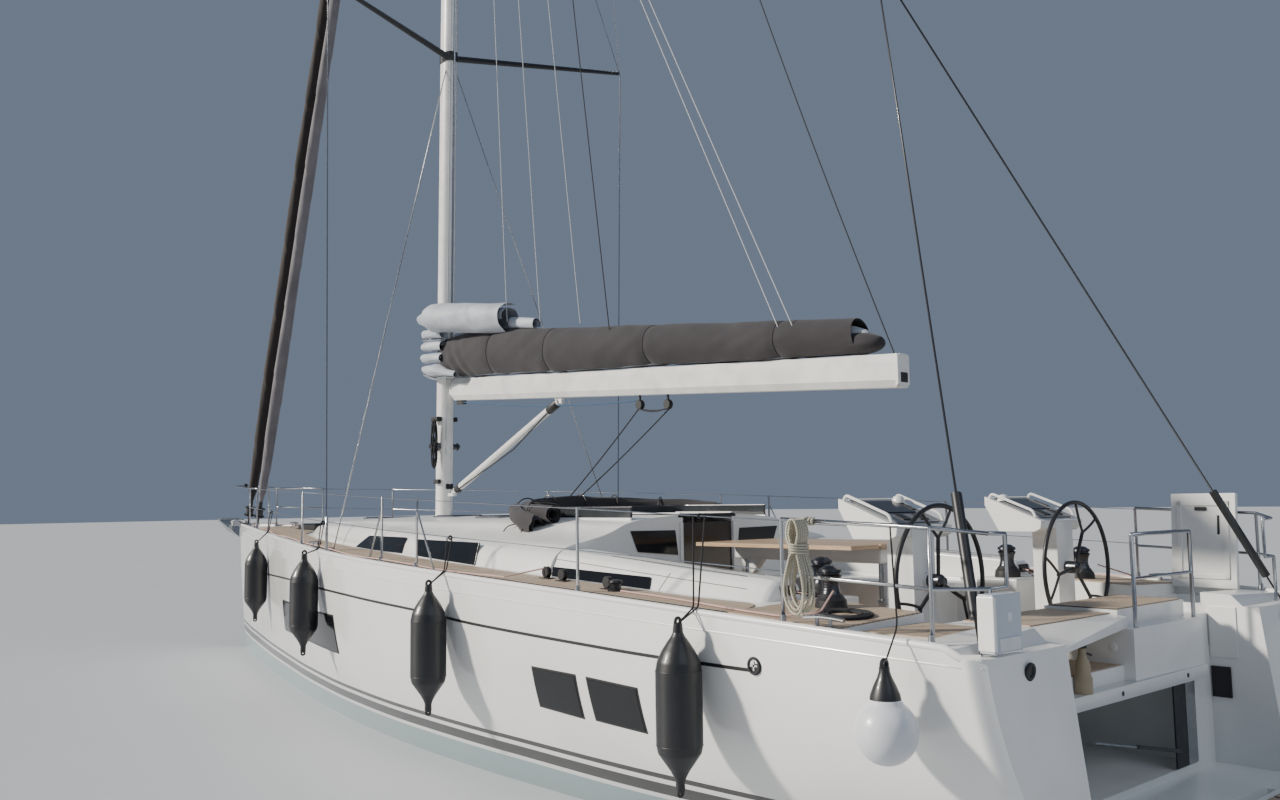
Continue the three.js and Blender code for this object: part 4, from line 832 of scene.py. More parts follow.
class YACHT_OT_stage(bpy.types.Operator):
    """Places the pale floor at the waterline, the soft lights and the photograph's camera"""
    bl_idname = "yacht.stage"
    bl_label = "Stage"

    def execute(self, context):
        self.floor()
        self.lights(context.scene)
        self.camera(context.scene)
        return {"FINISHED"}

    def floor(self):
        """One square, slightly mottled."""
        half = sizes().floor_size / 2
        look = Finish("floor", colours().floor[:], 0.55)
        look.colour_from(look.tones(look.noise(0.3, 2), colours().floor, (0.3, 0.97), (0.7, 1)))
        mesh = bpy.data.meshes.new("floor")
        corners = [(-half, -half, 0), (half, -half, 0), (half, half, 0), (-half, half, 0)]
        mesh.from_pydata(corners, [], [[0, 1, 2, 3]])
        mesh.materials.append(look.material)
        placed("floor", mesh)

    def lights(self, scene):
        """A blue sky, a warm sun and a wide, weak one from the other side."""
        world = bpy.data.worlds.new("studio")
        scene.world = world
        world.use_nodes = True
        world.node_tree.nodes["Background"].inputs["Color"].default_value = SKY
        world.node_tree.nodes["Background"].inputs["Strength"].default_value = SKY_STRENGTH
        for name, energy, direction, angle, tint in SUNS:
            data = bpy.data.lights.new(name, "SUN")
            data.energy = energy
            data.color = tint
            data.angle = math.radians(angle)
            placed(name, data).rotation_euler = Vector(direction).to_track_quat("-Z", "Y").to_euler()

    def camera(self, scene):
        """Looks along yaw and pitch, then rolls about that direction."""
        data = bpy.data.cameras.new("photo camera")
        data.sensor_width = SENSOR_WIDTH
        data.lens = FOCAL_PIXELS / PHOTO_WIDTH * SENSOR_WIDTH
        data.clip_end = 1000
        camera = placed("photo camera", data)
        flat, rise = math.cos(CAMERA_PITCH), math.sin(CAMERA_PITCH)
        forward = Vector((math.cos(CAMERA_YAW) * flat, math.sin(CAMERA_YAW) * flat, rise))
        right = forward.cross(Vector((0, 0, 1))).normalized()
        up = right.cross(forward)
        turned_right = right * math.cos(CAMERA_ROLL) + up * math.sin(CAMERA_ROLL)
        turned_up = up * math.cos(CAMERA_ROLL) - right * math.sin(CAMERA_ROLL)
        pose = Matrix((turned_right, turned_up, -forward)).transposed().to_4x4()
        pose.translation = Vector(CAMERA_PLACE)
        camera.matrix_world = pose
        scene.camera = camera


def hull_pane(corners, out, grow=0.0):
    """A pane on the topside; grow moves its four corners outward."""
    corners = np.asarray(corners, float) + grow * np.array([(1, -1), (-1, -1), (-1, 1), (1, 1)])
    return side_pane(corners, hull_side, out, rows=10, columns=16, inner=0.0)


# Height of the cove line by place
COVE = np.array([
    (-6.27, 1.315), (-5.48, 1.318), (-4.5, 1.337), (-3.26, 1.372), (-2.1, 1.425), (0.18, 1.468), (1.3, 1.475),
    (4.7, 1.41),
])
COVE_HALF_WIDTH = 0.011
COVE_SOCKET = (-6.28, 1.345)
# Foot forward, foot aft, head aft, head forward, each (x, z)
HULL_WINDOWS = [
    [(-3.96, 0.809), (-4.48, 0.787), (-4.47, 1.087), (-3.95, 1.093)],
    [(-4.64, 0.795), (-5.16, 0.778), (-5.15, 1.068), (-4.62, 1.085)],
    [(2.74, 0.80), (1.49, 0.82), (1.47, 1.18), (2.72, 1.16)],
    [(1.35, 0.82), (-0.01, 0.82), (-0.02, 1.20), (1.33, 1.182)],
]


class YACHT_OT_hull(bpy.types.Operator):
    """Builds the fair hull skin, the gunwale, the cove line and the hull's windows"""
    bl_idname = "yacht.hull"
    bl_label = "Hull"

    def execute(self, context):
        soften("hull", "moulding", 0.012)
        self.topsides()
        self.cove()
        frames = [hull_pane(corners, 0.009, 0.016) for corners in HULL_WINDOWS]
        panes = [hull_pane(corners, 0.013) for corners in HULL_WINDOWS]
        put("hull_window_frames", each_side(frames), "black_plastic", bevel=0.002)
        put("hull_windows", each_side(panes), "window", bevel=0.002)
        return {"FINISHED"}

    def topsides(self):
        """A thin skin over the hull's formula, denser at both ends, and the mouldings along its edge."""
        x = np.concatenate([
            np.linspace(-7.98, -7.6, 24), np.linspace(-7.55, 6.0, 100), np.linspace(6.05, 7.98, 40)])[:, None]
        skin = hull_surface(x, np.linspace(-1, 1, 129)[None])
        away = skin * (0, 1, 1) - (0, 0, 1)
        put("hull_topsides", shell(skin, 0.005, 0.004, away), "gelcoat")

        along = np.linspace(-7.96, 7.9, 160)
        edge = hull_surface(along, np.ones_like(along)) + np.array([0, -0.012, 0.003])
        put("gunwale", both(tube(edge, 0.024, 12)), "moulding")
        rim = hull_surface(along[:-3], np.full(157, 0.982)) + np.array([0, 0.003, 0])
        put("rubbing_strake", both(tube(rim, 0.006, 8)), "moulding")

    def cove(self):
        """The dark line along the topside and the round socket that ends it."""
        x = np.linspace(-6.25, 4.7, 120)[None]
        z = smooth(COVE[:, 0], COVE[:, 1], x) + np.linspace(-COVE_HALF_WIDTH, COVE_HALF_WIDTH, 4)[:, None]
        line = xyz(x, hull_side(x, z), z)
        put("cove_line", both(shell(line, 0.008, 0.0, (0, 1, 0))), "black_plastic")
        x, z = COVE_SOCKET
        y = hull_side(x, z) - 0.004
        socket = [(0.058, 0.0), (0.058, 0.012), (0.050, 0.020), (0.040, 0.020), (0.036, 0.010)]
        put("cove_socket", both(lathe(socket, (x, y, z), (0, 1, 0), 32)), "black_plastic")
        bars = [box((x - a, y + 0.008, z - b), (x + a, y + 0.016, z + b))
                for a, b in ((0.030, 0.006), (0.006, 0.030))]
        put("cove_socket_cross", each_side(bars), "stainless")


# Inner edge of the side decks' teak: place and distance from the centreline
INNER_DECK = np.array([
    (-7.3, 2.235), (-6.0, 2.235), (-5.85, 1.93), (-5.3, 2.0), (-3.45, 2.01), (-2.3, 1.96), (-1.25, 1.89),
    (0.35, 1.69), (1.2, 1.53), (2.3, 1.28), (3.6, 0.85), (4.35, 0.38), (5.15, 0.31), (5.6, 0.02),
    (6.5, 0.02),
])
TEAK_MARGIN = 0.13
TEAK_THICKNESS = 0.009
QUARTER_INNER, QUARTER_OUTER = 1.47, 2.32


class YACHT_OT_deck(bpy.types.Operator):
    """Lays the teak of the side decks and foredeck, and the mooring cleats"""
    bl_idname = "yacht.deck"
    bl_label = "Deck"

    def execute(self, context):
        v = np.linspace(0, 1, 9)[None]
        x = np.linspace(-5.95, 6.35, 150)[:, None]
        outer = half_beam(x) - TEAK_MARGIN
        y = outer + (np.interp(x, INNER_DECK[:, 0], INNER_DECK[:, 1]) - outer) * v
        self.planks("side_decks", x, y, outer - y)
        x = np.linspace(-6.83, -5.955, 12)[:, None]
        y = QUARTER_INNER + (QUARTER_OUTER - QUARTER_INNER) * v
        self.planks("quarter_decks", x, y, y)

        cleats = []
        for x in (6.6, 1.0, -6.75):
            y = half_beam(x) - 0.10
            z = deck_z(x, y)
            horn = ((-0.15, 0.055), (-0.05, 0.065), (0.05, 0.065), (0.15, 0.055))
            cleats.append(bent([(x + dx, y, z + dz) for dx, dz in horn], 0.013))
            cleats += [rod((x + dx, y, z - 0.01), (x + dx, y, z + 0.06), 0.012) for dx in (-0.05, 0.05)]
            cleats.append(box((x - 0.09, y - 0.022, z - 0.01), (x + 0.09, y + 0.022, z + 0.012)))
        put("mooring_cleats", each_side(cleats), "stainless")
        return {"FINISHED"}

    def planks(self, name, x, y, across):
        """Teak on both sides' deck over a grid of x and y; across counts metres over the planks."""
        x, y, across = np.broadcast_arrays(x, y, across)
        top = xyz(x, y, deck_z(x, y))
        plate = shell(top, TEAK_THICKNESS, 0.002, (0, 0, 1), np.stack([x, across], -1))
        put(name, both(plate), "teak")


# Coachroof stations: place, foot, side and its height, top and its height, middle height
ROOF = np.array([
    (4.40, 0.33, 0.25, 2.050, 0.16, 2.060, 2.062), (3.60, 0.80, 0.66, 2.080, 0.48, 2.125, 2.140),
    (2.30, 1.23, 1.13, 2.100, 0.94, 2.165, 2.190), (1.20, 1.48, 1.38, 2.100, 1.15, 2.180, 2.215),
    (0.35, 1.64, 1.54, 2.080, 1.25, 2.185, 2.225), (-1.25, 1.84, 1.74, 2.020, 1.25, 2.190, 2.235),
    (-2.30, 1.91, 1.80, 1.990, 1.08, 2.190, 2.240), (-3.45, 1.95, 1.82, 1.965, 0.98, 2.185, 2.240),
])
ROOF_AFT_X = -3.452
# The skins' feet reach this far below the deck edge
FOOT_SINK = 0.09


def roof(column, x):
    """One column of the stations as a smooth curve along the coachroof."""
    return smooth(ROOF[:, 0], ROOF[:, column], x)


def roof_rings(x):
    """Section corners at each x: foot, side, two on the shoulder, top, half top and middle."""
    foot_y, side_y, side_z, top_y, top_z, mid_z = (roof(i, x) for i in range(1, 7))
    corners = [
        (foot_y, deck_edge(x) - FOOT_SINK), (side_y, side_z),
        (top_y + (side_y - top_y) * 0.35, side_z + (top_z - side_z) * 0.45), (top_y, top_z),
        (top_y * 0.5, top_z + (mid_z - top_z) * 0.75), (0, mid_z),
    ]
    port = np.stack([xyz(x, y, z) for y, z in corners], 1)
    starboard = port[:, -2::-1] * np.array([1, -1, 1])
    return np.concatenate([port, starboard], 1)


def roof_side_y(x, z):
    """The coachroof's side, straight from its foot to its shoulder."""
    low = deck_edge(x) - FOOT_SINK
    share = (z - low) / (roof(3, x) - low)
    return roof(1, x) + (roof(2, x) - roof(1, x)) * share


# Foot forward, foot aft, head aft, head forward, each (x, z)
ROOF_WINDOWS = [
    [(0.727, 1.877), (-0.709, 1.856), (-0.708, 2.020), (0.347, 2.019)],
    [(-1.078, 1.844), (-2.285, 1.794), (-2.250, 1.997), (-1.017, 2.007)],
]
# Place, distance from the centreline, half width
ROOF_HATCHES = [
    (2.75, 0.0, 0.27), (0.1, 0.55, 0.22), (0.1, -0.55, 0.22), (-1.1, 0.75, 0.22), (-1.1, -0.75, 0.22),
]
# Boxes cut out for the sliding hatch and for the stairs
ROOF_OPENINGS = [((-3.6, -0.39, 2.205), (-1.85, 0.39, 3)), ((-3.6, -0.33, 1.45), (-2.6, 0.33, 3))]


class YACHT_OT_coachroof(bpy.types.Operator):
    """Builds the fair coachroof with its side windows and roof hatches"""
    bl_idname = "yacht.coachroof"
    bl_label = "Coachroof"

    def execute(self, context):
        x = np.linspace(ROOF[0, 0], ROOF_AFT_X, 90)
        shape = grid(rounded(roof_rings(x), 121, 4), wrap_columns=True, caps=True)
        skin = put("coachroof_skin", shape, "moulding", replaces=["coachroof"], sharp=50)
        cut(skin, *ROOF_OPENINGS)

        panes = [side_pane(corners, roof_side_y, 0.012) for corners in ROOF_WINDOWS]
        windows = [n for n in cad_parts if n.startswith("coachroof_window")]
        put("coachroof_windows", each_side(panes), "window", replaces=windows, bevel=0.003)

        frames, lids = [], []
        for x, y, half in ROOF_HATCHES:
            z = np.interp(x, ROOF[::-1, 0], ROOF[::-1, 6]) - 0.02 * abs(y) / 0.6
            pane = half - 0.03
            frames.append(box((x - half, y - half, z - 0.03), (x + half, y + half, z + 0.018)))
            lids.append(box((x - pane, y - pane, z), (x + pane, y + pane, z + 0.026)))
        put("roof_hatch_frames", frames, "stainless", bevel=0.006)
        put("roof_hatch_lids", lids, "window", bevel=0.004)
        return {"FINISHED"}


LID_HINGE_Y, LID_HINGE_Z, LID_OPEN_DEGREES = -2.25, 1.5668, 95


def opened(shape):
    """A piece of the starboard quarter lid, turned from closed to open as the photograph shows it."""
    return turned(shape, LID_HINGE_Y, LID_HINGE_Z, LID_OPEN_DEGREES)


class YACHT_OT_stern(bpy.types.Operator):
    """Builds the quarter lids, stern seats, platform, rescue case and the transom's fittings"""
    bl_idname = "yacht.stern"
    bl_label = "Stern"

    def execute(self, context):
        for node, bevel in (("quarter_lid_port", 0.008), ("quarter_lid_starboard", 0.008),
                            ("bridge_seat", 0.014), ("bathing_platform", 0.012)):
            soften(node, "moulding", bevel, body=node)
        soften("aft_locker", "moulding", 0.025, segments=4)
        self.lids()
        self.planks()
        self.rescue_case()
        self.fittings()
        self.canister()
        return {"FINISHED"}

    def lids(self):
        """Teak on both lids, and the rim and latch that show under the open one."""
        node = "quarter_lid_starboard"
        lid = board(-7.35, -6.87, 1.49, 2.12, LID_HINGE_Z)
        put("quarter_lid_port_teak", lid, "teak", body="quarter_lid_port")
        put("quarter_lid_starboard_teak", opened(mirrored(lid)), "teak", body=node)
        rim = [((-7.32, -2.17), (-6.90, -2.13)), ((-7.32, -1.56), (-6.90, -1.52)),
               ((-7.32, -2.17), (-7.28, -1.52)), ((-6.94, -2.17), (-6.90, -1.52))]
        rim = [opened(box((*low, 1.506), (*high, 1.5175))) for low, high in rim]
        put("quarter_lid_starboard_rim", rim, "moulding", body=node, bevel=0.004)
        latch = [((-7.245, -1.80, 1.512), (-7.225, -1.64, 1.518)),
                 ((-7.14, -1.60, 1.500), (-7.05, -1.57, 1.518))]
        latch = [opened(box(low, high)) for low, high in latch]
        put("quarter_lid_starboard_latch", latch, "black_plastic", body=node, bevel=0.003)

    def planks(self):
        """Teak on the stern's seats and on the bathing platform."""
        put("bridge_seat_teak", board(-7.33, -6.85, -0.05, 1.02, 1.540), "teak", body="bridge_seat")
        put("stern_seat_teak", board(-7.35, -6.85, -1.13, -0.10, 1.565), "teak")
        panels = [board(-9.03, -8.08, y0, y1, 0.325)
                  for y0, y1 in ((-1.34, -0.70), (-0.67, -0.01), (0.01, 0.67), (0.70, 1.34))]
        put("platform_teak", panels, "teak", body="bathing_platform")

    def rescue_case(self):
        """The case on the pushpit with its strip and plain plates."""
        soften("rescue_case", "case_grey", 0.014, segments=3)
        strip = box((-7.803, 2.186, 1.540), (-7.700, 2.216, 1.832))
        put("rescue_case_strip", strip, "moulding", bevel=0.008)
        plates = [box((-7.803, 1.95, 1.537), (-7.78, 2.16, 1.61)),
                  box((-7.801, 2.03, 1.69), (-7.79, 2.07, 1.745))]
        put("rescue_case_port", plates, "white_vinyl", bevel=0.006)

    def fittings(self):
        """Sockets, fairleads, the garage's slot and strut, and a small panel. The black discs in the sockets,
        the dark plate on the starboard quarter's inner wall and the black plate in the garage's slot are
        painted shade, standing for the dark insides of the sockets, a recess and the slot.
        """
        # Black discs in the two sockets: painted shade of their openings
        fittings_and_hole_shade = [lathe([(0.017, 0), (0.017, 0.004)], (-7.519, y, z), (-1, 0, 0))
                 for y, z in ((0.213, 1.052), (-0.804, 1.058))]
        oval = [(0.052, 0), (0.050, 0.012), (0.040, 0.016), (0.030, 0.014), (0.026, 0.006)]
        fittings_and_hole_shade += [lathe(oval, (-7.804, y, 1.408), (-1, 0, -0.12), 32) for y in (1.885, -1.885)]
        # Dark plate on the starboard quarter's inner wall: painted shade of a recess
        fittings_and_hole_shade.append(box((-7.57, -1.452, 0.82), (-7.43, -1.436, 1.05)))
        # Black plate in the garage's slot: painted shade of the slot
        fittings_and_hole_shade.append(box((-7.424, -0.947, 0.39), (-7.436, -0.747, 1.0)))
        put("transom_fittings_and_hole_shade", fittings_and_hole_shade, "black_plastic", bevel=0.003)
        knob = lathe([(0.030, 0), (0.030, 0.006), (0.022, 0.009)], (-7.351, -0.0305, 1.317), (0, 1, 0))
        panel = box((-7.63, -1.452, 1.12), (-7.43, -1.440, 1.50))
        put("transom_panel", [panel, knob], "moulding", bevel=0.004)
        upper, middle, lower = (-7.45, 0.489, 0.765), (-7.45, -0.10, 0.649), (-7.45, -0.780, 0.516)
        strip = box((-7.424, -1.119, 0.39), (-7.430, -0.950, 1.0))
        put("garage_strip", [strip, rod(upper, middle, 0.008)], "stainless")
        put("garage_strut", rod(middle, lower, 0.014), "black_paint")

    def canister(self):
        """A small bottle with its valve, standing in the stern well."""
        x, y = -7.468, 0.64
        can = [(0.056, 0), (0.058, 0.01), (0.058, 0.10), (0.050, 0.115), (0.050, 0.17), (0.042, 0.20),
               (0.026, 0.235), (0.024, 0.29)]
        put("stern_canister", lathe(can, (x, y, 1.099)), "canister")
        valve = [(0.030, 0), (0.030, 0.03), (0.016, 0.04)]
        lever = rod((x, 0.60, 1.35), (x, 0.52, 1.33), 0.008)
        put("stern_canister_valve", [lathe(valve, (x, y, 1.385)), lever], "black_plastic")


# Coaming stations: place, foot, side, top's height
COAMING = np.array([
    (-3.4503, 1.950, 1.800, 1.960), (-4.40, 1.960, 1.790, 1.895), (-5.10, 1.955, 1.780, 1.840),
    (-5.70, 1.920, 1.745, 1.808), (-5.775, 1.905, 1.732, 1.795), (-5.808, 1.885, 1.712, 1.775),
    (-5.822, 1.855, 1.682, 1.745),
])
COAMING_INNER = 1.460
# Foot forward, foot aft, head aft, head forward, each (x, z)
STRIP_WINDOW = [(-3.50, 1.742), (-4.72, 1.678), (-4.67, 1.778), (-3.47, 1.818)]


def coaming(column, x):
    """One column of the stations, straight between them."""
    return np.interp(x, COAMING[::-1, 0], COAMING[::-1, column])


def coaming_side_y(x, z):
    """Outer face of the coaming, straight from its foot to its shoulder."""
    low = deck_edge(x) - FOOT_SINK
    share = (z - low) / (coaming(3, x) - 0.04 - low)
    return coaming(1, x) + (coaming(2, x) - coaming(1, x)) * np.clip(share, 0, 1.1)


class YACHT_OT_coamings(bpy.types.Operator):
    """Builds the cockpit coamings with their strip windows, seams and rope channels"""
    bl_idname = "yacht.coamings"
    bl_label = "Coamings"

    def execute(self, context):
        x = np.concatenate([np.linspace(-3.4503, -5.55, 40), np.linspace(-5.58, -5.822, 24)])
        foot_y, side_y, z = (coaming(i, x) for i in (1, 2, 3))
        foot_z = deck_edge(x) - FOOT_SINK
        inner = np.full_like(x, COAMING_INNER)
        corners = [(inner, foot_z), (inner, z - 0.015), (inner + 0.03, z), ((inner + side_y) / 2, z + 0.002),
                   (side_y - 0.06, z), (side_y, z - 0.04), (foot_y, foot_z)]
        rings = rounded(np.stack([xyz(x, y, h) for y, h in corners], 1), 121, 2)
        shape = grid(rings, wrap_columns=True, caps=True)
        put("coaming_skins", both(shape), "moulding", replaces=["coaming_port", "coaming_starboard"],
            sharp=55, bevel=0.006)
        put("coaming_windows", both(side_pane(STRIP_WINDOW, coaming_side_y, 0.014)), "window", bevel=0.003)

        top = coaming(3, np.array([-3.47, -5.62])) - 0.075
        seams = [self.seam((-3.47, -5.62), top), self.seam((-4.80, -4.84), (1.66, 1.82))]
        for y in (1.52, 1.70):
            ends = [(x, y, coaming(3, x) + 0.003) for x in (-4.05, -5.55)]
            seams.append(rod(*ends, 0.003, 6))
        put("coaming_seams", each_side(seams), "seam")
        channel = box((-5.835, 1.50, 1.690), (-5.70, 1.66, 1.760))
        put("rope_channels", both(channel), "black_plastic", bevel=0.01)
        lines = []
        for i, y in enumerate((1.53, 1.57, 1.61)):
            path = [(-5.79, y, 1.725), (-5.90, y - 0.03, 1.71), (-5.98, y - 0.10, 1.69),
                    (-6.0, 1.36, 1.70 + 0.01 * i)]
            lines.append(bent(path, 0.006, 0.05, 8))
        put("channel_lines_black", both(lines[0]) + both(lines[2]), "black_rope")
        put("channel_lines_red", both(lines[1]), "red_rope")
        return {"FINISHED"}

    def seam(self, ends, heights):
        """A thin line on the coaming's side between two places and heights."""
        x, z = np.linspace(*ends, 24), np.linspace(*heights, 24)
        return tube(xyz(x, coaming_side_y(x, z) + 0.001, z), 0.003, 6)


# Each side's winches, coaming first: place, distance from the centreline, foot's height (None: on deck)
WINCHES = [(-5.86, 1.25, 1.667), (-6.30, 1.70, None)]
# Distance from the centreline, and the angles of the spokes in degrees
WHEELS = {"port": (0.95, (87, 207, 327)), "starboard": (-0.95, (112, 232, 352))}
WHEEL_X, WHEEL_Z, WHEEL_RADIUS = -6.65, 1.79, 0.515
# Upper and lower end of the console's face, each (x, z)
CONSOLE_NOSE, CONSOLE_TAIL = np.array([-6.10, 2.347]), np.array([-6.50, 2.188])


def winch_parts(x, y, z):
    """Base, ribbed drum and self-tailing top of one winch."""
    base = lathe([(0.108, 0), (0.108, 0.012), (0.102, 0.055), (0.095, 0.060), (0.074, 0.092)],
                 (x, y, z), sides=40)
    h = np.linspace(0.092, 0.205, 24)
    waist = 0.058 + 0.014 * (2 * (h - 0.148) / 0.113) ** 2
    drum = lathe(np.stack([waist + 0.0012 * np.sin(h * 900), h], -1), (x, y, z), sides=40)
    top = lathe([(0, 0.205), (0.074, 0.207), (0.078, 0.214), (0.064, 0.224), (0.064, 0.230), (0.077, 0.238),
                 (0.074, 0.254), (0.058, 0.262), (0.040, 0.276), (0.018, 0.280), (0.016, 0.268), (0, 0.268)],
                (x, y, z), sides=40)
    return base, drum, top


class YACHT_OT_cockpit(bpy.types.Operator):
    """Builds the benches, sole, table, consoles, wheels, winches, hatch and companionway"""
    bl_idname = "yacht.cockpit"
    bl_label = "Cockpit"

    def execute(self, context):
        for side in ("port", "starboard"):
            soften("cockpit_bench_" + side, "seat_moulding", 0.018, segments=3)
            soften("helm_console_" + side, "moulding", 0.016, segments=3)
        seats = board(-5.42, -3.50, 0.80, 1.33, 1.600, 0.003)
        put("bench_tops", both(seats), "nonskid")
        put("bench_toe_rails", both(bent([(-5.44, 0.775, 1.602), (-3.49, 0.775, 1.602)], 0.012)), "moulding")
        sole = [board(-6.83, -3.47, -0.755, 0.755, SOLE_Z), board(-6.83, -6.06, 0.76, 1.44, SOLE_Z),
                board(-6.83, -6.06, -1.44, -0.76, SOLE_Z), board(-7.41, -6.83, 0.0, 1.44, SOLE_Z)]
        put("cockpit_sole", sole, "teak")

        self.table()
        self.consoles()
        for side, (y, angles) in WHEELS.items():
            self.wheel(side, y, angles)
        self.winches()
        self.companionway()
        return {"FINISHED"}

    def winches(self):
        """Both sides' winches, each of a base, a drum and a top."""
        heights = [deck_z(x, y) + 0.002 if z is None else z for x, y, z in WINCHES]
        parts = [winch_parts(x, y, z) for (x, y, _), z in zip(WINCHES, heights)]
        bases, drums, tops = (each_side(row) for row in zip(*parts))
        put("winch_bases", bases, "black_plastic", replaces=["winch_port", "winch_starboard"])
        put("winch_drums", drums, "dark_steel")
        put("winch_tops", tops, "dark_steel")

    def companionway(self):
        """The sliding hatch with its frame, the washboard, the bulkhead's windows and the jambs."""
        soften("companionway_hatch", "window", 0.006, body="companionway_hatch")
        low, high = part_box("companionway_hatch")
        z = high[2]
        rails = [box((low[0] + 0.01, y - 0.02, z - 0.004), (high[0] - 0.01, y + 0.02, z + 0.012))
                 for y in (low[1] + 0.03, high[1] - 0.03)]
        put("hatch_frame", rails, "moulding", body="companionway_hatch", bevel=0.006)
        soften("companionway_washboard", "smoked", 0.004, body="companionway_washboard")
        corners = np.array([[(-3.451, 0.986, 2.097), (-3.451, 0.434, 2.090)],
                            [(-3.451, 0.900, 1.905), (-3.451, 0.400, 1.860)]])
        put("bulkhead_windows", both(shell(corners, 0.012, 0.0, (-1, 0, 0))), "window", bevel=0.005)
        jambs = box((-3.468, 0.335, 1.46), (-3.449, 0.375, 2.16))
        put("companionway_jambs", both(jambs), "moulding", bevel=0.006)

    def table(self):
        """The table's top, its locker below, two legs and the two leaves."""
        top_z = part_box("cockpit_table")[1][2]
        under = top_z - 0.032
        put("table_top", box((-5.60, -0.19, under), (-3.85, 0.19, top_z)), "wood", replaces=["cockpit_table"],
            bevel=0.007, segments=3)
        put("table_box", box((-5.54, -0.12, 1.830), (-3.91, 0.12, under)), "moulding", bevel=0.02, segments=3)
        leg = [(0.095, 0), (0.092, 0.010), (0.050, 0.014), (0.048, 0.30), (0.054, 0.305), (0.054, 0.335),
               (0.042, 0.34), (0.042, 0.632)]
        put("table_legs", [lathe(leg, (x, 0, SOLE_Z)) for x in (-5.48, -3.99)], "stainless")
        gusset = prism([(-3.92, 1.955), (-3.92, 1.70), (-4.00, 1.64), (-4.30, 1.955)], -0.035, 0.035)
        put("table_gusset", gusset, "moulding", bevel=0.008)
        for node in ("table_leaf_port", "table_leaf_starboard"):
            soften(node, "wood", 0.007, body=node, segments=3)

    def consoles(self):
        """Slanted faces with a screen and dials, between two rails, and the boss that holds the wheel."""
        face = self.console_plate(0.68, 1.22, 0, 1, 0.006, 8, 6)
        put("console_faces", both(face), "panel_grey", bevel=0.002)
        put("console_screens", both(self.console_plate(0.78, 1.12, 0.12, 0.62)), "window", bevel=0.003)
        dials = [self.console_plate(*ends, *way) for ends, way in (
            ((0.71, 0.76), (0.2, 0.5)), ((1.14, 1.19), (0.2, 0.5)),
            ((0.80, 0.90), (0.70, 0.92)), ((1.00, 1.10), (0.70, 0.92)))]
        put("console_dials", each_side(dials), "black_plastic", bevel=0.003)
        rails = []
        for y in (0.645, 1.255):
            path = [(-6.08, y, 2.345), (-6.10, y, 2.385), (-6.46, y, 2.245), (-6.48, y, 2.195)]
            rails.append(bent(path, 0.011, 0.03))
        rails.append(lathe([(0.05, 0), (0.048, 0.02), (0.034, 0.045), (0, 0.055)], (-6.16, 0.72, 2.325)))
        put("console_rails", each_side(rails), "moulding")
        boss = [(0.082, 0), (0.080, 0.02), (0.066, 0.045), (0.062, 0.09)]
        put("console_bosses", both(lathe(boss, (-6.44, 0.95, WHEEL_Z), (-1, 0, 0), 32)), "moulding")

    def console_plate(self, y0, y1, u0, u1, height=0.014, rows=2, columns=2):
        """A plate on the console's slope, u being the share of the way from its nose to its tail."""
        u = np.linspace(u0, u1, rows)[:, None]
        xz = CONSOLE_NOSE * (1 - u) + CONSOLE_TAIL * u
        y = np.linspace(y0, y1, columns)[None]
        return shell(xyz(xz[:, :1], y, xz[:, 1:]), height, 0.0, (0, 0, 1))

    def wheel(self, side, y, angles):
        """A rim and three spokes that fork on their way out."""
        node = "steering_wheel_" + side
        centre = np.array([WHEEL_X, y, WHEEL_Z])
        spokes = [torus(centre, (1, 0, 0), WHEEL_RADIUS, 0.0165, 14, 96)]
        for degrees in angles:
            a = math.radians(degrees)
            out = np.array([0, math.cos(a), math.sin(a)])
            split = centre + out * 0.315
            spokes.append(rod(centre + (0.02, 0, 0) + out * 0.04, split, 0.014, 12))
            for sign in (-1, 1):
                b, c = a + math.radians(20) * sign, a + 0.25 * sign
                end = centre + 0.512 * np.array([0, math.cos(b), math.sin(b)])
                middle = centre + 0.40 * np.array([0, math.cos(c), math.sin(c)])
                spokes.append(bent([split - out * 0.02, middle, end], 0.0105, 0.06))
        put(node + "_skin", spokes, "wheel_black", body=node, replaces=[node])
        hub = lathe([(0.048, 0), (0.050, 0.03), (0.048, 0.09), (0.036, 0.105), (0.030, 0.118), (0, 0.120)],
                    centre + (0.088, 0, 0), (-1, 0, 0), 32)
        put(node + "_hub", hub, "dark_steel", body=node)


# The windscreen's two ends, half width and top
SCREEN_AFT, SCREEN_FRONT, SCREEN_HALF, SCREEN_TOP = -3.38, -1.95, 0.90, 2.31


class YACHT_OT_windscreen(bpy.types.Operator):
    """Builds the low wraparound windscreen with its frames"""
    bl_idname = "yacht.windscreen"
    bl_label = "Windscreen"

    def execute(self, context):
        heights = np.linspace(2.17, SCREEN_TOP - 0.003, 6)
        glass = np.stack([self.ring(z, 0.005) for z in heights])
        put("windscreen_glass", shell(glass, 0.003, 0.003), "screen_glass", replaces=["windscreen"])
        put("windscreen_foot", tube(self.ring(2.198, -0.004), 0.016, 10), "moulding")
        bars = [tube(self.ring(SCREEN_TOP, 0.004), 0.008, 10)]
        for foot_x, top_x, y, radius in (
                (SCREEN_AFT + 0.01, SCREEN_AFT + 0.01, SCREEN_HALF, 0.010),
                (-2.55, -2.58, SCREEN_HALF, 0.008),
                (SCREEN_FRONT - 0.05, SCREEN_FRONT - 0.13, SCREEN_HALF - 0.08, 0.008)):
            bars += both(rod((foot_x, y, 2.19), (top_x, y - 0.004, SCREEN_TOP), radius))
        put("windscreen_frames", bars, "dark_steel")
        return {"FINISHED"}

    def ring(self, z, inset):
        """The screen's line at a height, from aft on port round the front; it leans aft as it rises."""
        half = SCREEN_HALF - inset
        front = SCREEN_FRONT - inset - (z - 2.15) / 0.25 * 0.15
        port = [(SCREEN_AFT, half, z), (front - 0.12, half, z), (front, half - 0.16, z), (front, 0, z)]
        return filleted(port + [(x, -y, h) for x, y, h in port[-2::-1]], 0.10)


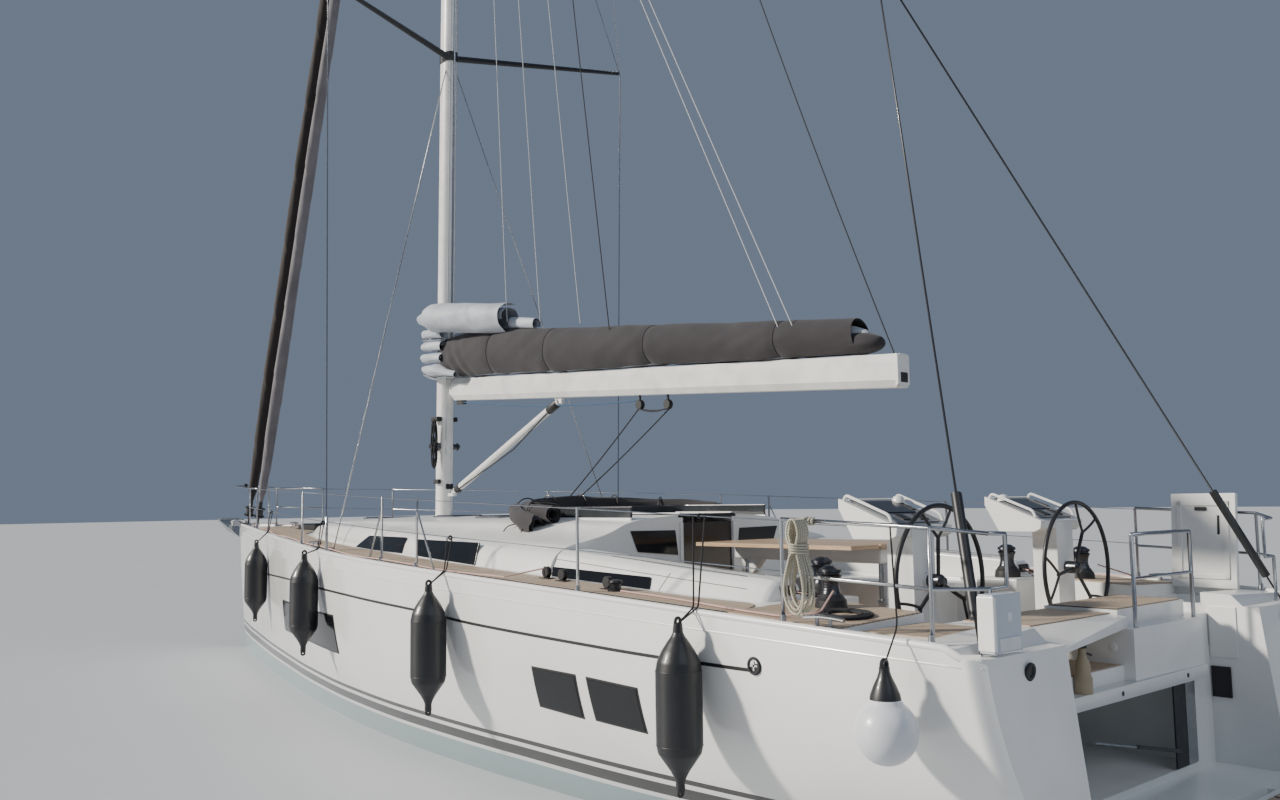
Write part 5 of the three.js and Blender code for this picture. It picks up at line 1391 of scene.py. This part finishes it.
class YACHT_OT_sprayhood(bpy.types.Operator):
    """Builds the sprayhood, rolled up and bagged in an arch round the windscreen"""
    bl_idname = "yacht.sprayhood"
    bl_label = "Sprayhood"

    def execute(self, context):
        self.arch()
        self.ends()
        ties = []
        for sign in (1, -1):
            for x, z in ((-2.05, 2.05), (-2.32, 1.98)):
                path = [(x, 1.18 * sign, 2.17), (x + 0.03, 1.33 * sign, 2.14), (x + 0.05, 1.40 * sign, z)]
                ties.append(bent(path, 0.006, 0.04, 6))
        put("sprayhood_ties", ties, "black_rope")
        return {"FINISHED"}

    def arch(self):
        """The hood rolled round its bows, with straps at every eleventh point of its path."""
        port = [(-2.50, 1.13, 2.255), (-2.10, 1.12, 2.275), (-1.66, 0.86, 2.30), (-1.46, 0.40, 2.33)]
        starboard = [(x, -y, z) for x, y, z in port[::-1]]
        path = filleted(port + [(-1.45, 0.0, 2.335)] + starboard, 0.22, 10)
        hood = rolled(path, 0.045, 0.098, 2.1, 0.10, start=0.6)
        piece = put("sprayhood_roll", hood, "canvas", replaces=["folded_sprayhood"], sharp=70)
        straps = [torus(p, q - p, 0.112, 0.007, 8, 40) for p, q in zip(path[3::11][:6], path[4::11][:6])]
        put("sprayhood_straps", straps, "black_plastic")

    def ends(self):
        """The hood's loose lower ends, gathered on each side; together they are 1.2 m long."""
        bags = []
        for sign in (1, -1):
            path = [(-1.90, 1.10 * sign, 2.27), (-2.02, 1.17 * sign, 2.25), (-2.20, 1.235 * sign, 2.19),
                    (-2.42, 1.26 * sign, 2.13)]
            bags.append(rolled(filleted(path, 0.06, 6), 0.04, 0.105, 1.6, 0.22, 1.15, 0.4))
        piece = put("sprayhood_ends", bags, "canvas", sharp=70)


class YACHT_OT_rails(bpy.types.Operator):
    """Smooths the guard rails, pulpit, pushpits, bow roller and anchor"""
    bl_idname = "yacht.rails"
    bl_label = "Rails and bow gear"

    def execute(self, context):
        for node in ("guard_rail_port", "guard_rail_starboard", "pulpit", "pushpit_port",
                     "pushpit_starboard", "stern_rail"):
            soften(node, "stainless", 0.0, sharp=62)
        soften("bow_roller", "stainless", 0.004)
        soften("anchor", "galvanised", 0.008, segments=3)
        socket = [(0.036, 0), (0.036, 0.006), (0.020, 0.012), (0.018, 0.06)]
        sockets = []
        for x in (4.5, 1.55, -1.35, -2.10, -4.51, -6.48, -7.50, 6.0, 7.08):
            y = half_beam(x) - RAIL_INSET
            sockets.append(lathe(socket, (x, y, deck_z(x, y) - 0.002)))
        put("stanchion_sockets", each_side(sockets), "stainless")
        put("bow_light", rod((7.86, 0.0, 2.70), (7.86, 0.0, 2.76), 0.03, 20), "black_plastic")
        return {"FINISHED"}


def mast_x(z):
    """The mast's centre line, which leans aft."""
    return MAST_X - MAST_RAKE * z


def boom_under(x):
    """Height of the boom's underside, which rises forward from its aft end."""
    return BOOM_FOOT_Z + BOOM_SLOPE * (x - BOOM_PIN_X)


def furled(foot, top, roll):
    """A furled sail: radius by distance s along the stay, with a ridge that winds round it every 1.15 m
    and slow lumps of sin(2 angle + 1.7 s) and sin(5 angle - 6 s)."""
    length = float(np.linalg.norm(np.subtract(top, foot)))
    profile = np.array([
        (0.42, 0.030), (0.50, 0.4 * roll[0]), (0.62, 0.7 * roll[0]), (1.3, 0.9 * roll[0]), (2.6, roll[0]),
        (9.0, roll[1]), (length - 2.6, roll[2]), (length - 1.7, 0.018), (length, 0.009)])
    s = np.concatenate([np.linspace(0.42, 3.0, 70), np.linspace(3.02, length, 620)])[:, None]
    a = round_turn(26)[None]
    radius = np.interp(s, profile[:, 0], profile[:, 1])
    soft = np.clip((s - 0.5) / 0.3, 0, 1) * np.clip((length - 2.0 - s) / 0.5, 0, 1)
    turn = (a - 2 * math.pi * s / 1.15) % (2 * math.pi) / (2 * math.pi)
    lumps = 0.10 * (turn - 0.6) + 0.035 * np.sin(2 * a + 1.7 * s) + 0.02 * np.sin(5 * a - 6 * s)
    radius = radius * (1 + soft * lumps)
    way = np.subtract(top, foot) / length
    side = unit(np.cross(way, (0, 1, 0)))
    up = np.cross(side, way)
    across = np.cos(a)[..., None] * side + np.sin(a)[..., None] * up
    points = np.asarray(foot, float) + s[..., None] * way + radius[..., None] * across
    return grid(points, wrap_columns=True, caps=True)


# The boom's blocks, aft and forward, and the kicker's ends
BLOCK_AFT_X, BLOCK_X = -2.92, -2.495
KICKER_TOP_X, KICKER_FOOT = -1.12, (1.03, 0, 2.54)


class YACHT_OT_rig(bpy.types.Operator):
    """Smooths the mast, boom, spreaders and stays; adds furled headsails, halyards and blocks"""
    bl_idname = "yacht.rig"
    bl_label = "Rig"

    def execute(self, context):
        soften("mast", "spar", 0.006, sharp=50)
        soften("boom", "spar", 0.02, body=BOOM, segments=3)
        for node, look, sharp in (
                ("spreaders_lower", "black_paint", 62), ("spreaders_upper", "black_paint", 62),
                ("shrouds_port", "stainless", 75), ("shrouds_starboard", "stainless", 75),
                ("backstay", "black_paint", 75)):
            soften(node, look, 0.0, sharp=sharp)
        self.headsail("furled_headsail_front", 7.73, (0.105, 0.095, 0.048), "headsail")
        self.headsail("furled_headsail_aft", 7.32, (0.092, 0.080, 0.042), "headsail_pale")
        self.mast_gear()
        self.boom_ends()
        self.kicker()
        self.boom_blocks()
        self.halyards()
        self.mainsheet()
        return {"FINISHED"}

    def headsail(self, name, foot_x, roll, look):
        """A furled sail with its drum; roll is its radius near the foot, at 9 m and near the head."""
        low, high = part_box(name)
        foot = np.array([foot_x, 0, low[2]])
        top = np.array([low[0] + 0.009, 0, high[2]])
        put(name + "_skin", furled(foot, top, roll), look, replaces=[name], sharp=80)
        way = unit(top - foot)
        base = foot + way * 0.16
        drum = [(0.085, 0), (0.088, 0.012), (0.060, 0.022), (0.060, 0.118), (0.088, 0.128),
                (0.085, 0.14), (0.034, 0.15), (0.030, 0.30)]
        put(name + "_drum", [lathe(drum, base, way, 32), rod(foot, base, 0.016)], "black_plastic")

    def mast_gear(self):
        """The track on the mast's aft face, cleats, winches, and a hank of rope pinched at both ends."""
        z = np.linspace(4.1, 23.6, 30)
        x = mast_x(z) - 0.14 * np.interp(z, [21.5, 24.3], [1, 0.75]) - 0.004
        put("mast_track", tube(xyz(x, 0, z), 0.014, 8), "stainless")
        bundle = []
        for i in range(7):
            share = np.linspace(0, 1, 22)
            angle = i / 7 * 2 * math.pi + 2 * share
            pinch = np.sin(share * math.pi) ** 0.3
            x, y = 1.30 + 0.045 * np.cos(angle) * pinch, 0.175 + 0.035 * np.sin(angle) * pinch
            bundle.append(tube(xyz(x, y, 2.82 + 0.62 * share), 0.010, 8))
        put("mast_rope_hank", bundle, "black_rope")
        cleats = [((1.24, 0.095, 3.42), (1.40, 0.17, 3.48)), ((1.26, 0.095, 2.62), (1.38, 0.14, 2.68)),
                  ((1.24, -0.14, 3.42), (1.40, -0.095, 3.48)), ((1.20, -0.05, 2.55), (1.235, 0.05, 2.62))]
        put("mast_cleats", [box(*ends) for ends in cleats], "black_plastic", bevel=0.01)
        winch = [(0.055, 0), (0.050, 0.03), (0.036, 0.05), (0.036, 0.09), (0.050, 0.10), (0.030, 0.13)]
        put("mast_winches", both(lathe(winch, (mast_x(3.1), 0.085, 3.1), (0, 1, 0))), "dark_steel")

    def boom_ends(self):
        """The moulded cap on the boom's aft end, a little larger than the boom."""
        low = boom_under(BOOM_AFT_X)
        aft = BOOM_AFT_X - 0.005
        outline = [(aft + 0.03, low + 0.284), (aft, low + 0.27), (aft, low + 0.03), (aft + 0.03, low - 0.003)]
        put("boom_cap", prism(outline, -0.081, 0.081), "moulding", body=BOOM, bevel=0.008)
        inset = box((aft - 0.006, -0.045, low + 0.045), (aft + 0.002, 0.045, low + 0.125))
        put("boom_cap_inset", inset, "black_plastic", body=BOOM, bevel=0.003)

    def kicker(self):
        """The strut under the boom with its end fittings and its line, which hangs a little below."""
        soften("kicker", "spar", 0.0, body=BOOM, sharp=62)
        end = np.array([KICKER_TOP_X, 0, boom_under(KICKER_TOP_X) - 0.045])
        start = np.array(KICKER_FOOT)
        way = unit(end - start)
        head = tube([end - way * s for s in (0.22, 0.20, 0.03, 0)], [0.045, 0.05, 0.05, 0.03], 16)
        put("kicker_end", [head, tube([start, start + way * 0.10], 0.052, 16)], "black_plastic", body=BOOM)
        low = end - way * 0.9 + (0, 0.06, -0.14)
        aside = (0, 0.03, -0.02)
        line = [rod(start + aside, low, 0.007), rod(low, end - way * 0.1 + aside, 0.007)]
        put("kicker_line", line, "black_rope", body=BOOM)

    def boom_blocks(self):
        """Two blocks under the boom, the reef line forward of them and the sheet's bight between them."""
        blocks = []
        for x in (BLOCK_X, BLOCK_AFT_X):
            z = boom_under(x)
            blocks.append(rod((x, 0, z + 0.004), (x, 0, z - 0.06), 0.012))
            blocks.append(sheave((x, 0, z - 0.10), 0.045, 0.052, 0.040, 0.026, 0.015))
        blocks.append(box((1.0, -0.03, boom_under(0.9) - 0.05), (0.86, 0.03, boom_under(0.9) + 0.004)))
        put("boom_blocks", blocks, "black_plastic", body=BOOM)
        aft, forward = (-2.45, 0.02, boom_under(-2.45) - 0.06), (0.92, 0.02, boom_under(0.92) - 0.02)
        put("boom_reef_line", tube(sagging(aft, forward, 0.05), 0.006, 8), "blue_rope", body=BOOM)
        slack = []
        for y, sag in ((0, 0.02), (0.02, 0.03)):
            ends = [(x, y, boom_under(x) - 0.14) for x in (BLOCK_X, BLOCK_AFT_X)]
            slack.append(tube(sagging(*ends, sag), sizes().line_radius, 8))
        put("mainsheet_bight", slack, "black_rope", body=BOOM)

    def halyards(self):
        """Two halyards behind the mast, lazy jacks that run from above the boom up to the mast, and
        the lines that hold the boom up, one of them slack."""
        falls = [rod((1.22, y, 3.0), (mast_x(23.5) - 0.15, y, 23.5), 0.006, 6) for y in (0.05, -0.05)]
        put("halyards", falls, "white_rope")
        jacks = [tube(straight((x, 0.15, z), (1.03, 0.04, 22.6), 40), 0.005, 6)
                 for x, z in ((-0.307, 4.50), (-0.967, 4.42), (-1.70, 4.30))]
        jacks += [tube(straight((x, 0.12, z), (1.10, 0.0, 15.3), 30), 0.005, 6)
                  for x, z in ((-4.507, 3.90), (-4.68, 3.88))]
        piece = put("lazy_jacks", jacks, "white_rope", body=None)
        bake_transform(piece)
        end = (-5.66, 0, boom_under(-5.66) + BOOM_DEPTH - 0.002)
        dark = [rod((-2.157, 0.12, 4.16), (1.0, 0.0, 24.2), 0.006, 6),
                tube(sagging(end, (1.0, 0, 24.2), 1.15, 40), 0.006, 6)]
        put("topping_lift", dark, "black_rope", body=BOOM)

    def mainsheet(self):
        """Two falls from the blocks under the boom to the foot on the roof."""
        foot_x = -1.24
        falls = []
        for y, x in ((0.06, BLOCK_X), (-0.06, BLOCK_AFT_X)):
            path = sagging((foot_x, y, 2.33), (x, 0.3 * y, boom_under(x) - 0.14), 0.02, 24)
            falls.append(tube(path, sizes().line_radius, 8))
        piece = put("mainsheet", falls, "black_rope", body=None)
        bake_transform(piece)
        base = box((foot_x - 0.06, -0.09, 2.215), (foot_x + 0.06, 0.09, 2.25))
        bar = rod((foot_x, -0.09, 2.29), (foot_x, 0.09, 2.29), 0.03, 16)
        put("mainsheet_foot", [base, bar], "black_plastic")


# Places of the straps round the cover, and the height of its top by place
COVER_STRAPS = np.array([-0.027, -1.149, -2.844, -4.567])
COVER_TOP = np.array([(1.19, 4.50), (0.6, 4.51), (-0.22, 4.44), (-2.87, 4.14), (-4.63, 3.96), (-5.45, 3.85)])


def cover_section(x, angle, shrink=0.0):
    """Pear-shaped ring over the boom: y = w cos(angle), z = middle + half height sin(angle), with long
    shallow waves, pleats at the front foot and a pinch at each strap."""
    foot = boom_under(x) + BOOM_DEPTH + 0.004
    top = np.interp(x, COVER_TOP[::-1, 0], COVER_TOP[::-1, 1])
    height = top - foot
    width = np.interp(x, [-5.5, -2.8, 0.3, 1.19], [0.135, 0.185, 0.205, 0.20])
    wave = 0.006 * np.sin(2.3 * x + 1.1 * angle) + 0.003 * np.sin(6.3 * x - 2.0 * angle)
    wave = wave + 0.0025 * np.sin(17.0 * x + 3.0 * np.sin(2 * angle) + 2.0 * angle) * np.sin(1.9 * x)
    low = np.clip((0.9 - np.sin(angle)) / 1.9, 0, 1)
    wave = wave + 0.015 * np.sin(30 * x + 11 * low) * np.exp(-((x - 0.80) / 0.25) ** 2) * low
    for strap in COVER_STRAPS:
        wave = wave - 0.010 * np.exp(-((x - strap - 0.10 * np.cos(angle / 2)) / 0.05) ** 2)
    grow = 1 + (wave - shrink) / width
    y = width * grow * np.cos(angle)
    z = foot + 0.49 * height + (0.51 * height + wave - shrink) * np.sin(angle)
    return xyz(x, y, np.maximum(z, foot + 0.001))


class YACHT_OT_sails(bpy.types.Operator):
    """Builds the mainsail's cover, the sail rolled inside it and the flakes at the mast"""
    bl_idname = "yacht.sails"
    bl_label = "Sail cover"

    def execute(self, context):
        self.cover()
        self.stowed_sail()
        self.rolls()
        self.flakes()
        return {"FINISHED"}

    def cover(self):
        """A thin shell round the stowed sail, open below, whose front foot is cut back as
        0.55 low^1.5, low being the depth below the middle; straps lie on its formula."""
        angle = np.linspace(-1.12, math.pi + 1.12, 84)[None]
        u = np.linspace(0, 1, 220)[:, None]
        low = np.clip(-np.sin(angle), 0, 1)
        front = 1.19 - 0.55 * low ** 1.5
        aft = -5.33 + 0.02 * np.sin(angle)
        x = front * (1 - u) + aft * u
        shape = shell(cover_section(x, angle), 0.0018, 0.0018)
        cover = self.boom_cloth("sail_cover_skin", shape, "canvas", ["sail_cover"])
        straps = []
        for strap in COVER_STRAPS:
            a = np.linspace(-1.1, math.pi + 1.1, 60)
            way = cover_section(strap + 0.10 * np.cos(a / 2), a, -0.002)
            straps.append(tube(way, 0.006, 6, squash=0.5))
        band = self.boom_cloth("sail_cover_straps", straps, "black_plastic")

    def stowed_sail(self):
        """The sail inside the cover and the bag behind it: the cover's section drawn in towards its
        middle at the ends, by 1 - 0.6 s^14 for the sail and the root of 1 - s^3 for the bag."""
        a = round_turn(40)[None]
        stack = cover_section(np.linspace(1.12, -5.42, 120)[:, None], a, 0.022)
        end = 1 - 0.6 * np.abs(np.linspace(1, -1, 120)) ** 14
        self.boom_cloth("stowed_sail", self.drawn_in(stack, end), "sailcloth", pad=0.5)

        x = np.linspace(-5.26, -5.55, 14)[:, None]
        bag = cover_section(x, a, 0.014)
        boom_top = boom_under(x) + BOOM_DEPTH + 0.004
        bag[..., 2] = boom_top + (bag[..., 2] - boom_top) * 0.66
        end = np.sqrt(np.clip(1 - np.linspace(0, 0.97, 14) ** 3, 0, 1))
        self.boom_cloth("cover_end_bag", self.drawn_in(bag, end), "canvas", pad=0.4)

    def drawn_in(self, rings, share):
        """Closed rings, each scaled about its middle by its share."""
        middle = rings.mean(1, keepdims=True)
        return grid(middle + (rings - middle) * share[:, None, None], wrap_columns=True, caps=True)

    def boom_cloth(self, name, shape, look, replaces=(), pad=None):
        """A piece of cloth on no body, its transform baked where it stands. pad is not used."""
        piece = put(name, shape, look, body=None, replaces=replaces, sharp=75)
        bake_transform(piece)
        return piece

    def rolls(self):
        """The rolled sail above the cover's front end, and the small roll behind it."""
        path = [(1.42, 0.30, 4.73), (0.95, 0.26, 4.69), (0.35, 0.17, 4.61), (-0.25, 0.08, 4.55)]
        path = filleted(path, 0.3, 12)
        way = np.linspace(0, 1, len(path))
        scale = np.clip(1 - (1 - np.minimum(1, way / 0.10)) ** 2.5, 0.35, 1)
        big = rolled(path, 0.13, 0.218, 1.35, 0.05, 0.90, 2.6, scale=scale)
        path = straight((-0.26, 0.05, 4.50), (-0.72, 0.03, 4.43), 16)
        small = rolled(path, 0.035, 0.078, 1.4, 0.05, 0.9, 2.6)
        for name, shape, length in (("sail_roll", big, 2.0), ("sail_roll_small", small, 0.55)):
            piece = self.boom_cloth(name, shape, "sailcloth")

    def flakes(self):
        """Loose folds on both sides of the mast: three small rolls and a long one below them."""
        flakes = []
        for z, radius in ((4.55, 0.088), (4.39, 0.080), (4.24, 0.076)):
            path = filleted([(1.50, 0.195, z), (1.28, 0.205, z - 0.01), (1.08, 0.185, z - 0.03)], 0.1, 6)
            flakes.append(rolled(path, 0.035, radius, 1.4, 0.12, 0.9, 2.2 + 9 * z))
        path = filleted([(1.50, 0.19, 4.10), (1.15, 0.215, 4.04), (0.75, 0.20, 3.97)], 0.2, 10)
        scale = np.interp(np.linspace(0, 1, len(path)), [0, 0.12, 0.45, 1], [0.6, 0.95, 1.0, 0.42])
        flakes.append(rolled(path, 0.06, 0.118, 1.5, 0.12, 0.95, 2.0, scale=scale))
        piece = self.boom_cloth("luff_flakes", each_side(flakes), "sailcloth")


# Name, place and height of the upper eye
FENDERS = [("fender_1", 4.150, 1.870), ("fender_2", 0.460, 1.850), ("fender_3", -2.730, 1.690),
           ("fender_4", -5.790, 1.590)]
# Radius by height below the upper eye, drawn for a radius of 0.15 m
FENDER_PROFILE = np.array([
    (0.0, -1.060), (0.026, -1.060), (0.030, -1.045), (0.029, -0.995), (0.040, -0.965), (0.062, -0.925),
    (0.105, -0.865), (0.140, -0.815), (0.150, -0.765), (0.1505, -0.55), (0.150, -0.305), (0.138, -0.245),
    (0.108, -0.180), (0.072, -0.125), (0.046, -0.090), (0.034, -0.066), (0.031, -0.030), (0.028, -0.006),
    (0.0, -0.004),
])
# Height of the guard wires as a share of the rail's height
LOW_WIRE, HIGH_WIRE = 0.5, 0.985


class YACHT_OT_fenders(bpy.types.Operator):
    """Builds the long fenders and the ball fender with their eyes and lanyards"""
    bl_idname = "yacht.fenders"
    bl_label = "Fenders"

    def execute(self, context):
        for name, x, eye_z in FENDERS:
            y = half_beam(x) + 0.156
            self.long_fender(name, x, y, eye_z)
            if name == "fender_4":
                self.lanyards(name, x, y, eye_z, HIGH_WIRE, (-0.05, 0.06), 0.007)
            else:
                self.lanyards(name, x, y, eye_z, LOW_WIRE, (-0.03, 0.05), 0.008)
        self.ball_fender()
        return {"FINISHED"}

    def long_fender(self, name, x, y, eye_z):
        """A turned body with two eyes and two raised rings."""
        scale = sizes().fender_radius / 0.15
        h = np.linspace(0, 1, 120)
        s = np.linspace(0, 1, len(FENDER_PROFILE))
        radius, height = (np.interp(h, s, FENDER_PROFILE[:, i]) for i in (0, 1))
        body = lathe(np.stack([radius * scale, height], -1), (x, y, eye_z), sides=48)
        eye = torus((x, y, eye_z + 0.004), (1, 0, 0), 0.022, 0.011, 10, 32)
        foot_eye = torus((x, y, eye_z - 1.065), (1, 0, 0), 0.020, 0.010, 10, 32)
        ribs = [torus((x, y, eye_z + h), (0, 0, 1), 0.1485, 0.004, 6, 40) for h in (-0.305, -0.765)]
        put(name + "_skin", [body, eye, foot_eye, *ribs], "rubber", replaces=[name], sharp=60)

    def lanyards(self, name, x, y, eye_z, wire, spreads, thickness):
        """Two lines from the eye over the deck edge to a guard wire, and the hitch round the wire."""
        edge, z = half_beam(x), deck_edge(x)
        rail, wire_z = edge - RAIL_INSET, z + wire * RAIL_HEIGHT
        lines = []
        for spread in spreads:
            path = [(x, y, eye_z - 0.01), (x + 0.3 * spread, edge + 0.014, z + 0.022),
                    (x + 0.4 * spread, edge - 0.01, z + 0.04), (x + spread, rail, wire_z)]
            lines.append(bent(path, 0.006, 0.04, 8))
        lines.append(torus((x, rail, wire_z), (1, 0, 0), 0.014, thickness, 8, 20))
        put(name + "_lanyard", lines, "black_rope")

    def ball_fender(self):
        """A ball that narrows upward into a dark neck with an eye, on one line from the rail."""
        x, eye_z = -7.36, 1.47
        radius, half_height = 0.170, 0.176
        edge = half_beam(x)
        y = edge + radius + 0.006
        a = np.linspace(-math.pi / 2, 0.95, 40)
        white = np.stack([radius * np.cos(a), -0.344 + half_height * np.sin(a)], -1)
        profile = np.concatenate([[(0, -0.520)], white[1:], [(0.090, -0.185), (0.078, -0.165)]])
        ball = lathe(profile, (x, y, eye_z), sides=48, to_axis=False)
        put("fender_5_skin", ball, "white_vinyl", replaces=["fender_5"], sharp=60)
        neck = lathe([(0.085, -0.180), (0.080, -0.150), (0.060, -0.100), (0.040, -0.060), (0.030, -0.030),
                      (0.028, -0.004)], (x, y, eye_z), sides=40)
        eye = torus((x, y, eye_z + 0.006), (1, 0, 0), 0.024, 0.012, 10, 32)
        put("fender_5_neck", [neck, eye], "rubber")
        rail = (x + 0.10, edge - RAIL_INSET, deck_edge(x) + RAIL_HEIGHT)
        line = bent([(x, y, eye_z), (x + 0.02, edge + 0.02, 1.66), rail], 0.005, 0.05, 8)
        put("fender_5_lanyard", line, "black_rope")


LEAD_BLOCK = (-3.66, 2.07)


class YACHT_OT_deck_gear(bpy.types.Operator):
    """Builds the blocks, led lines, the rope hank on the rail and the coil on the quarter"""
    bl_idname = "yacht.deck_gear"
    bl_label = "Deck gear"

    def execute(self, context):
        self.blocks()
        for name, side in (("port", 1), ("starboard", -1)):
            self.led_lines(name, side)
        self.hank()
        self.coil()
        return {"FINISHED"}

    def blocks(self):
        """Three standing blocks a side on their plates, and a small turning drum."""
        blocks = []
        for x, y in (LEAD_BLOCK, (-3.90, 2.09), (-4.55, 2.16)):
            z = deck_z(x, y)
            blocks.append(box((x - 0.06, y - 0.035, z), (x + 0.06, y + 0.035, z + 0.016)))
            blocks.append(sheave((x, y, z + 0.060), 0.040, 0.048, 0.036, 0.022, 0.014))
        x, y = -4.66, 2.18
        drum = [(0, 0), (0.060, 0), (0.058, 0.012), (0.044, 0.024), (0.044, 0.062), (0.056, 0.072),
                (0.048, 0.088), (0, 0.092)]
        blocks.append(lathe(drum, (x, y, deck_z(x, y))))
        put("deck_blocks", each_side(blocks), "black_plastic")

    def led_lines(self, name, side):
        """Lines that lie along the side deck, waved by a slow sine, and rise to a block or a winch."""
        x = np.linspace(-3.5, 7.2, 60)
        y = half_beam(x) - 0.075 - 0.02 * np.sin(1.3 * x)
        path = xyz(x, y * side, deck_z(x, y) + 0.030 + 0.008 * np.sin(3 * x))
        block_x, block_y = LEAD_BLOCK
        start = (block_x, block_y * side, deck_z(block_x, block_y) + 0.095)
        put("furling_line_" + name, tube(np.concatenate([[start], path]), 0.006, 8), "red_rope")
        x = np.linspace(-4.75, -6.35, 20)
        y = np.linspace(2.19, 2.27, 20) + 0.012 * np.sin(5 * x)
        path = xyz(x, y * side, deck_z(x, y) + 0.020)
        tail = np.array([(-6.55, 2.12 * side, deck_z(-6.5, 2.1) + 0.04),
                         (-6.40, 1.80 * side, deck_z(-6.4, 1.8) + 0.13)])
        sheet = filleted(np.concatenate([path, tail]), 0.06)
        put("jib_sheet_" + name, tube(sheet, 0.0065, 8), "red_rope")

    def hank(self):
        """Two turns round the pushpit's rail, seven long loops that hang outboard of it, and four turns
        that draw the loops in. A loop at angle a hangs (1 - cos a) / 2 of its drop below the rail."""
        x0, y0, d, turns, longest = -6.69, half_beam(-6.69) - RAIL_INSET, 0.014, 7, 0.53
        rail_z = deck_edge(x0) + RAIL_HEIGHT
        reach = 0.013 + d / 2
        b = np.linspace(math.pi / 2, -3.5 * math.pi, 64)
        along = x0 - 0.05 + 0.05 * np.linspace(0, 1, 64)
        hitch = xyz(along, y0 + reach * np.cos(b), rail_z + reach * np.sin(b))
        a = np.linspace(0.25, 2 * math.pi * turns, 44 * turns)
        share = (1 - np.cos(a)) / 2
        loose = 1 + 0.30 * np.sin(0.83 * a) * share
        half = loose * smooth(np.array([0, 0.16, 0.30, 0.45, 0.85, 1.0]),
                              np.array([0.060, 0.055, 0.022, 0.040, 0.090, 0.094]), share)
        drop = longest * (1 + 0.06 * np.sin(0.61 * a + 1.0) * share)
        stack = 0.036 + a / a[-1] * turns * d * 1.1
        loops = xyz(x0 + half * np.sin(a), y0 + stack, rail_z + 0.012 - drop * share)
        c = np.linspace(math.pi / 2, math.pi / 2 + 8 * math.pi, 160)
        middle = y0 + 0.036 + turns * d * 0.55
        wraps = xyz(x0 + 0.040 * np.cos(c), middle + (turns * d * 0.55 + 0.016) * np.sin(c),
                    rail_z - 0.135 - 0.0155 * (c - c[0]) / (2 * math.pi))
        path = np.concatenate([hitch, bridge(hitch, loops), loops, bridge(loops, wraps), wraps])
        piece = put("rail_rope", tube(path, d / 2, 8), "cream_rope", sharp=80)

    def coil(self):
        """A flat spiral beside the quarter cleat; each turn lies 1.12 diameters outside the last."""
        d, turns = 0.020, 4
        a = np.linspace(0, 2 * math.pi * turns, 40 * turns)
        radius = 0.10 + 1.12 * d * a / (2 * math.pi)
        x0, y0 = -6.58, 1.93
        x, y = x0 + radius * np.cos(a), y0 + radius * np.sin(a)
        path = xyz(x, y, deck_z(x, y) + 0.010 + d / 2)[::-1]
        piece = put("quarter_rope", tube(path, d / 2, 10), "black_rope", sharp=80)


class YACHT_OT_underwater(bpy.types.Operator):
    """Smooths the keel, rudder, drive and propeller, and the foredeck hatch"""
    bl_idname = "yacht.underwater"
    bl_label = "Keel, rudder and drive"

    def execute(self, context):
        soften("keel_fin", "cast_iron", 0.0, sharp=50)
        soften("keel_bulb", "cast_iron", 0.0, sharp=50)
        soften("rudder", "antifouling", 0.0, body="rudder", sharp=50)
        soften("saildrive", "antifouling", 0.01, sharp=50)
        soften("propeller", "bronze", 0.003, body="propeller", sharp=50)
        soften("deck_hatch_frame", "black_paint", 0.006)
        soften("deck_hatch_lid", "window", 0.006, body="deck_hatch_lid")
        return {"FINISHED"}


CLASSES = [
    YachtSizes, YachtColours, YACHT_OT_finishes, YACHT_OT_stage, YACHT_OT_deck_gear, YACHT_OT_hull,
    YACHT_OT_deck, YACHT_OT_coachroof, YACHT_OT_coamings, YACHT_OT_cockpit, YACHT_OT_windscreen,
    YACHT_OT_sprayhood, YACHT_OT_stern, YACHT_OT_rails, YACHT_OT_rig, YACHT_OT_sails, YACHT_OT_fenders,
    YACHT_OT_underwater,
]
STEPS = [cls for cls in CLASSES if issubclass(cls, bpy.types.Operator)]


class YACHT_PT_pieces(bpy.types.Panel):
    """Lists the pieces that can be built"""
    bl_idname = "YACHT_PT_pieces"
    bl_label = "Yacht pieces"
    bl_space_type = "VIEW_3D"
    bl_region_type = "UI"
    bl_category = "Yacht"

    def draw(self, context):
        for step in STEPS:
            self.layout.operator(step.bl_idname)


def register():
    """Registers the classes and gives the scene its sizes and colours."""
    for cls in (*CLASSES, YACHT_PT_pieces):
        bpy.utils.register_class(cls)
    bpy.types.Scene.yacht_sizes = bpy.props.PointerProperty(type=YachtSizes)
    bpy.types.Scene.yacht_colours = bpy.props.PointerProperty(type=YachtColours)


def unregister():
    """Takes back what register gave, in the opposite order."""
    del bpy.types.Scene.yacht_sizes
    del bpy.types.Scene.yacht_colours
    for cls in (YACHT_PT_pieces, *reversed(CLASSES)):
        bpy.utils.unregister_class(cls)


def main():
    register()
    for step in STEPS:
        group, name = step.bl_idname.split(".")
        getattr(getattr(bpy.ops, group), name)()


if __name__ == "__main__":
    main()
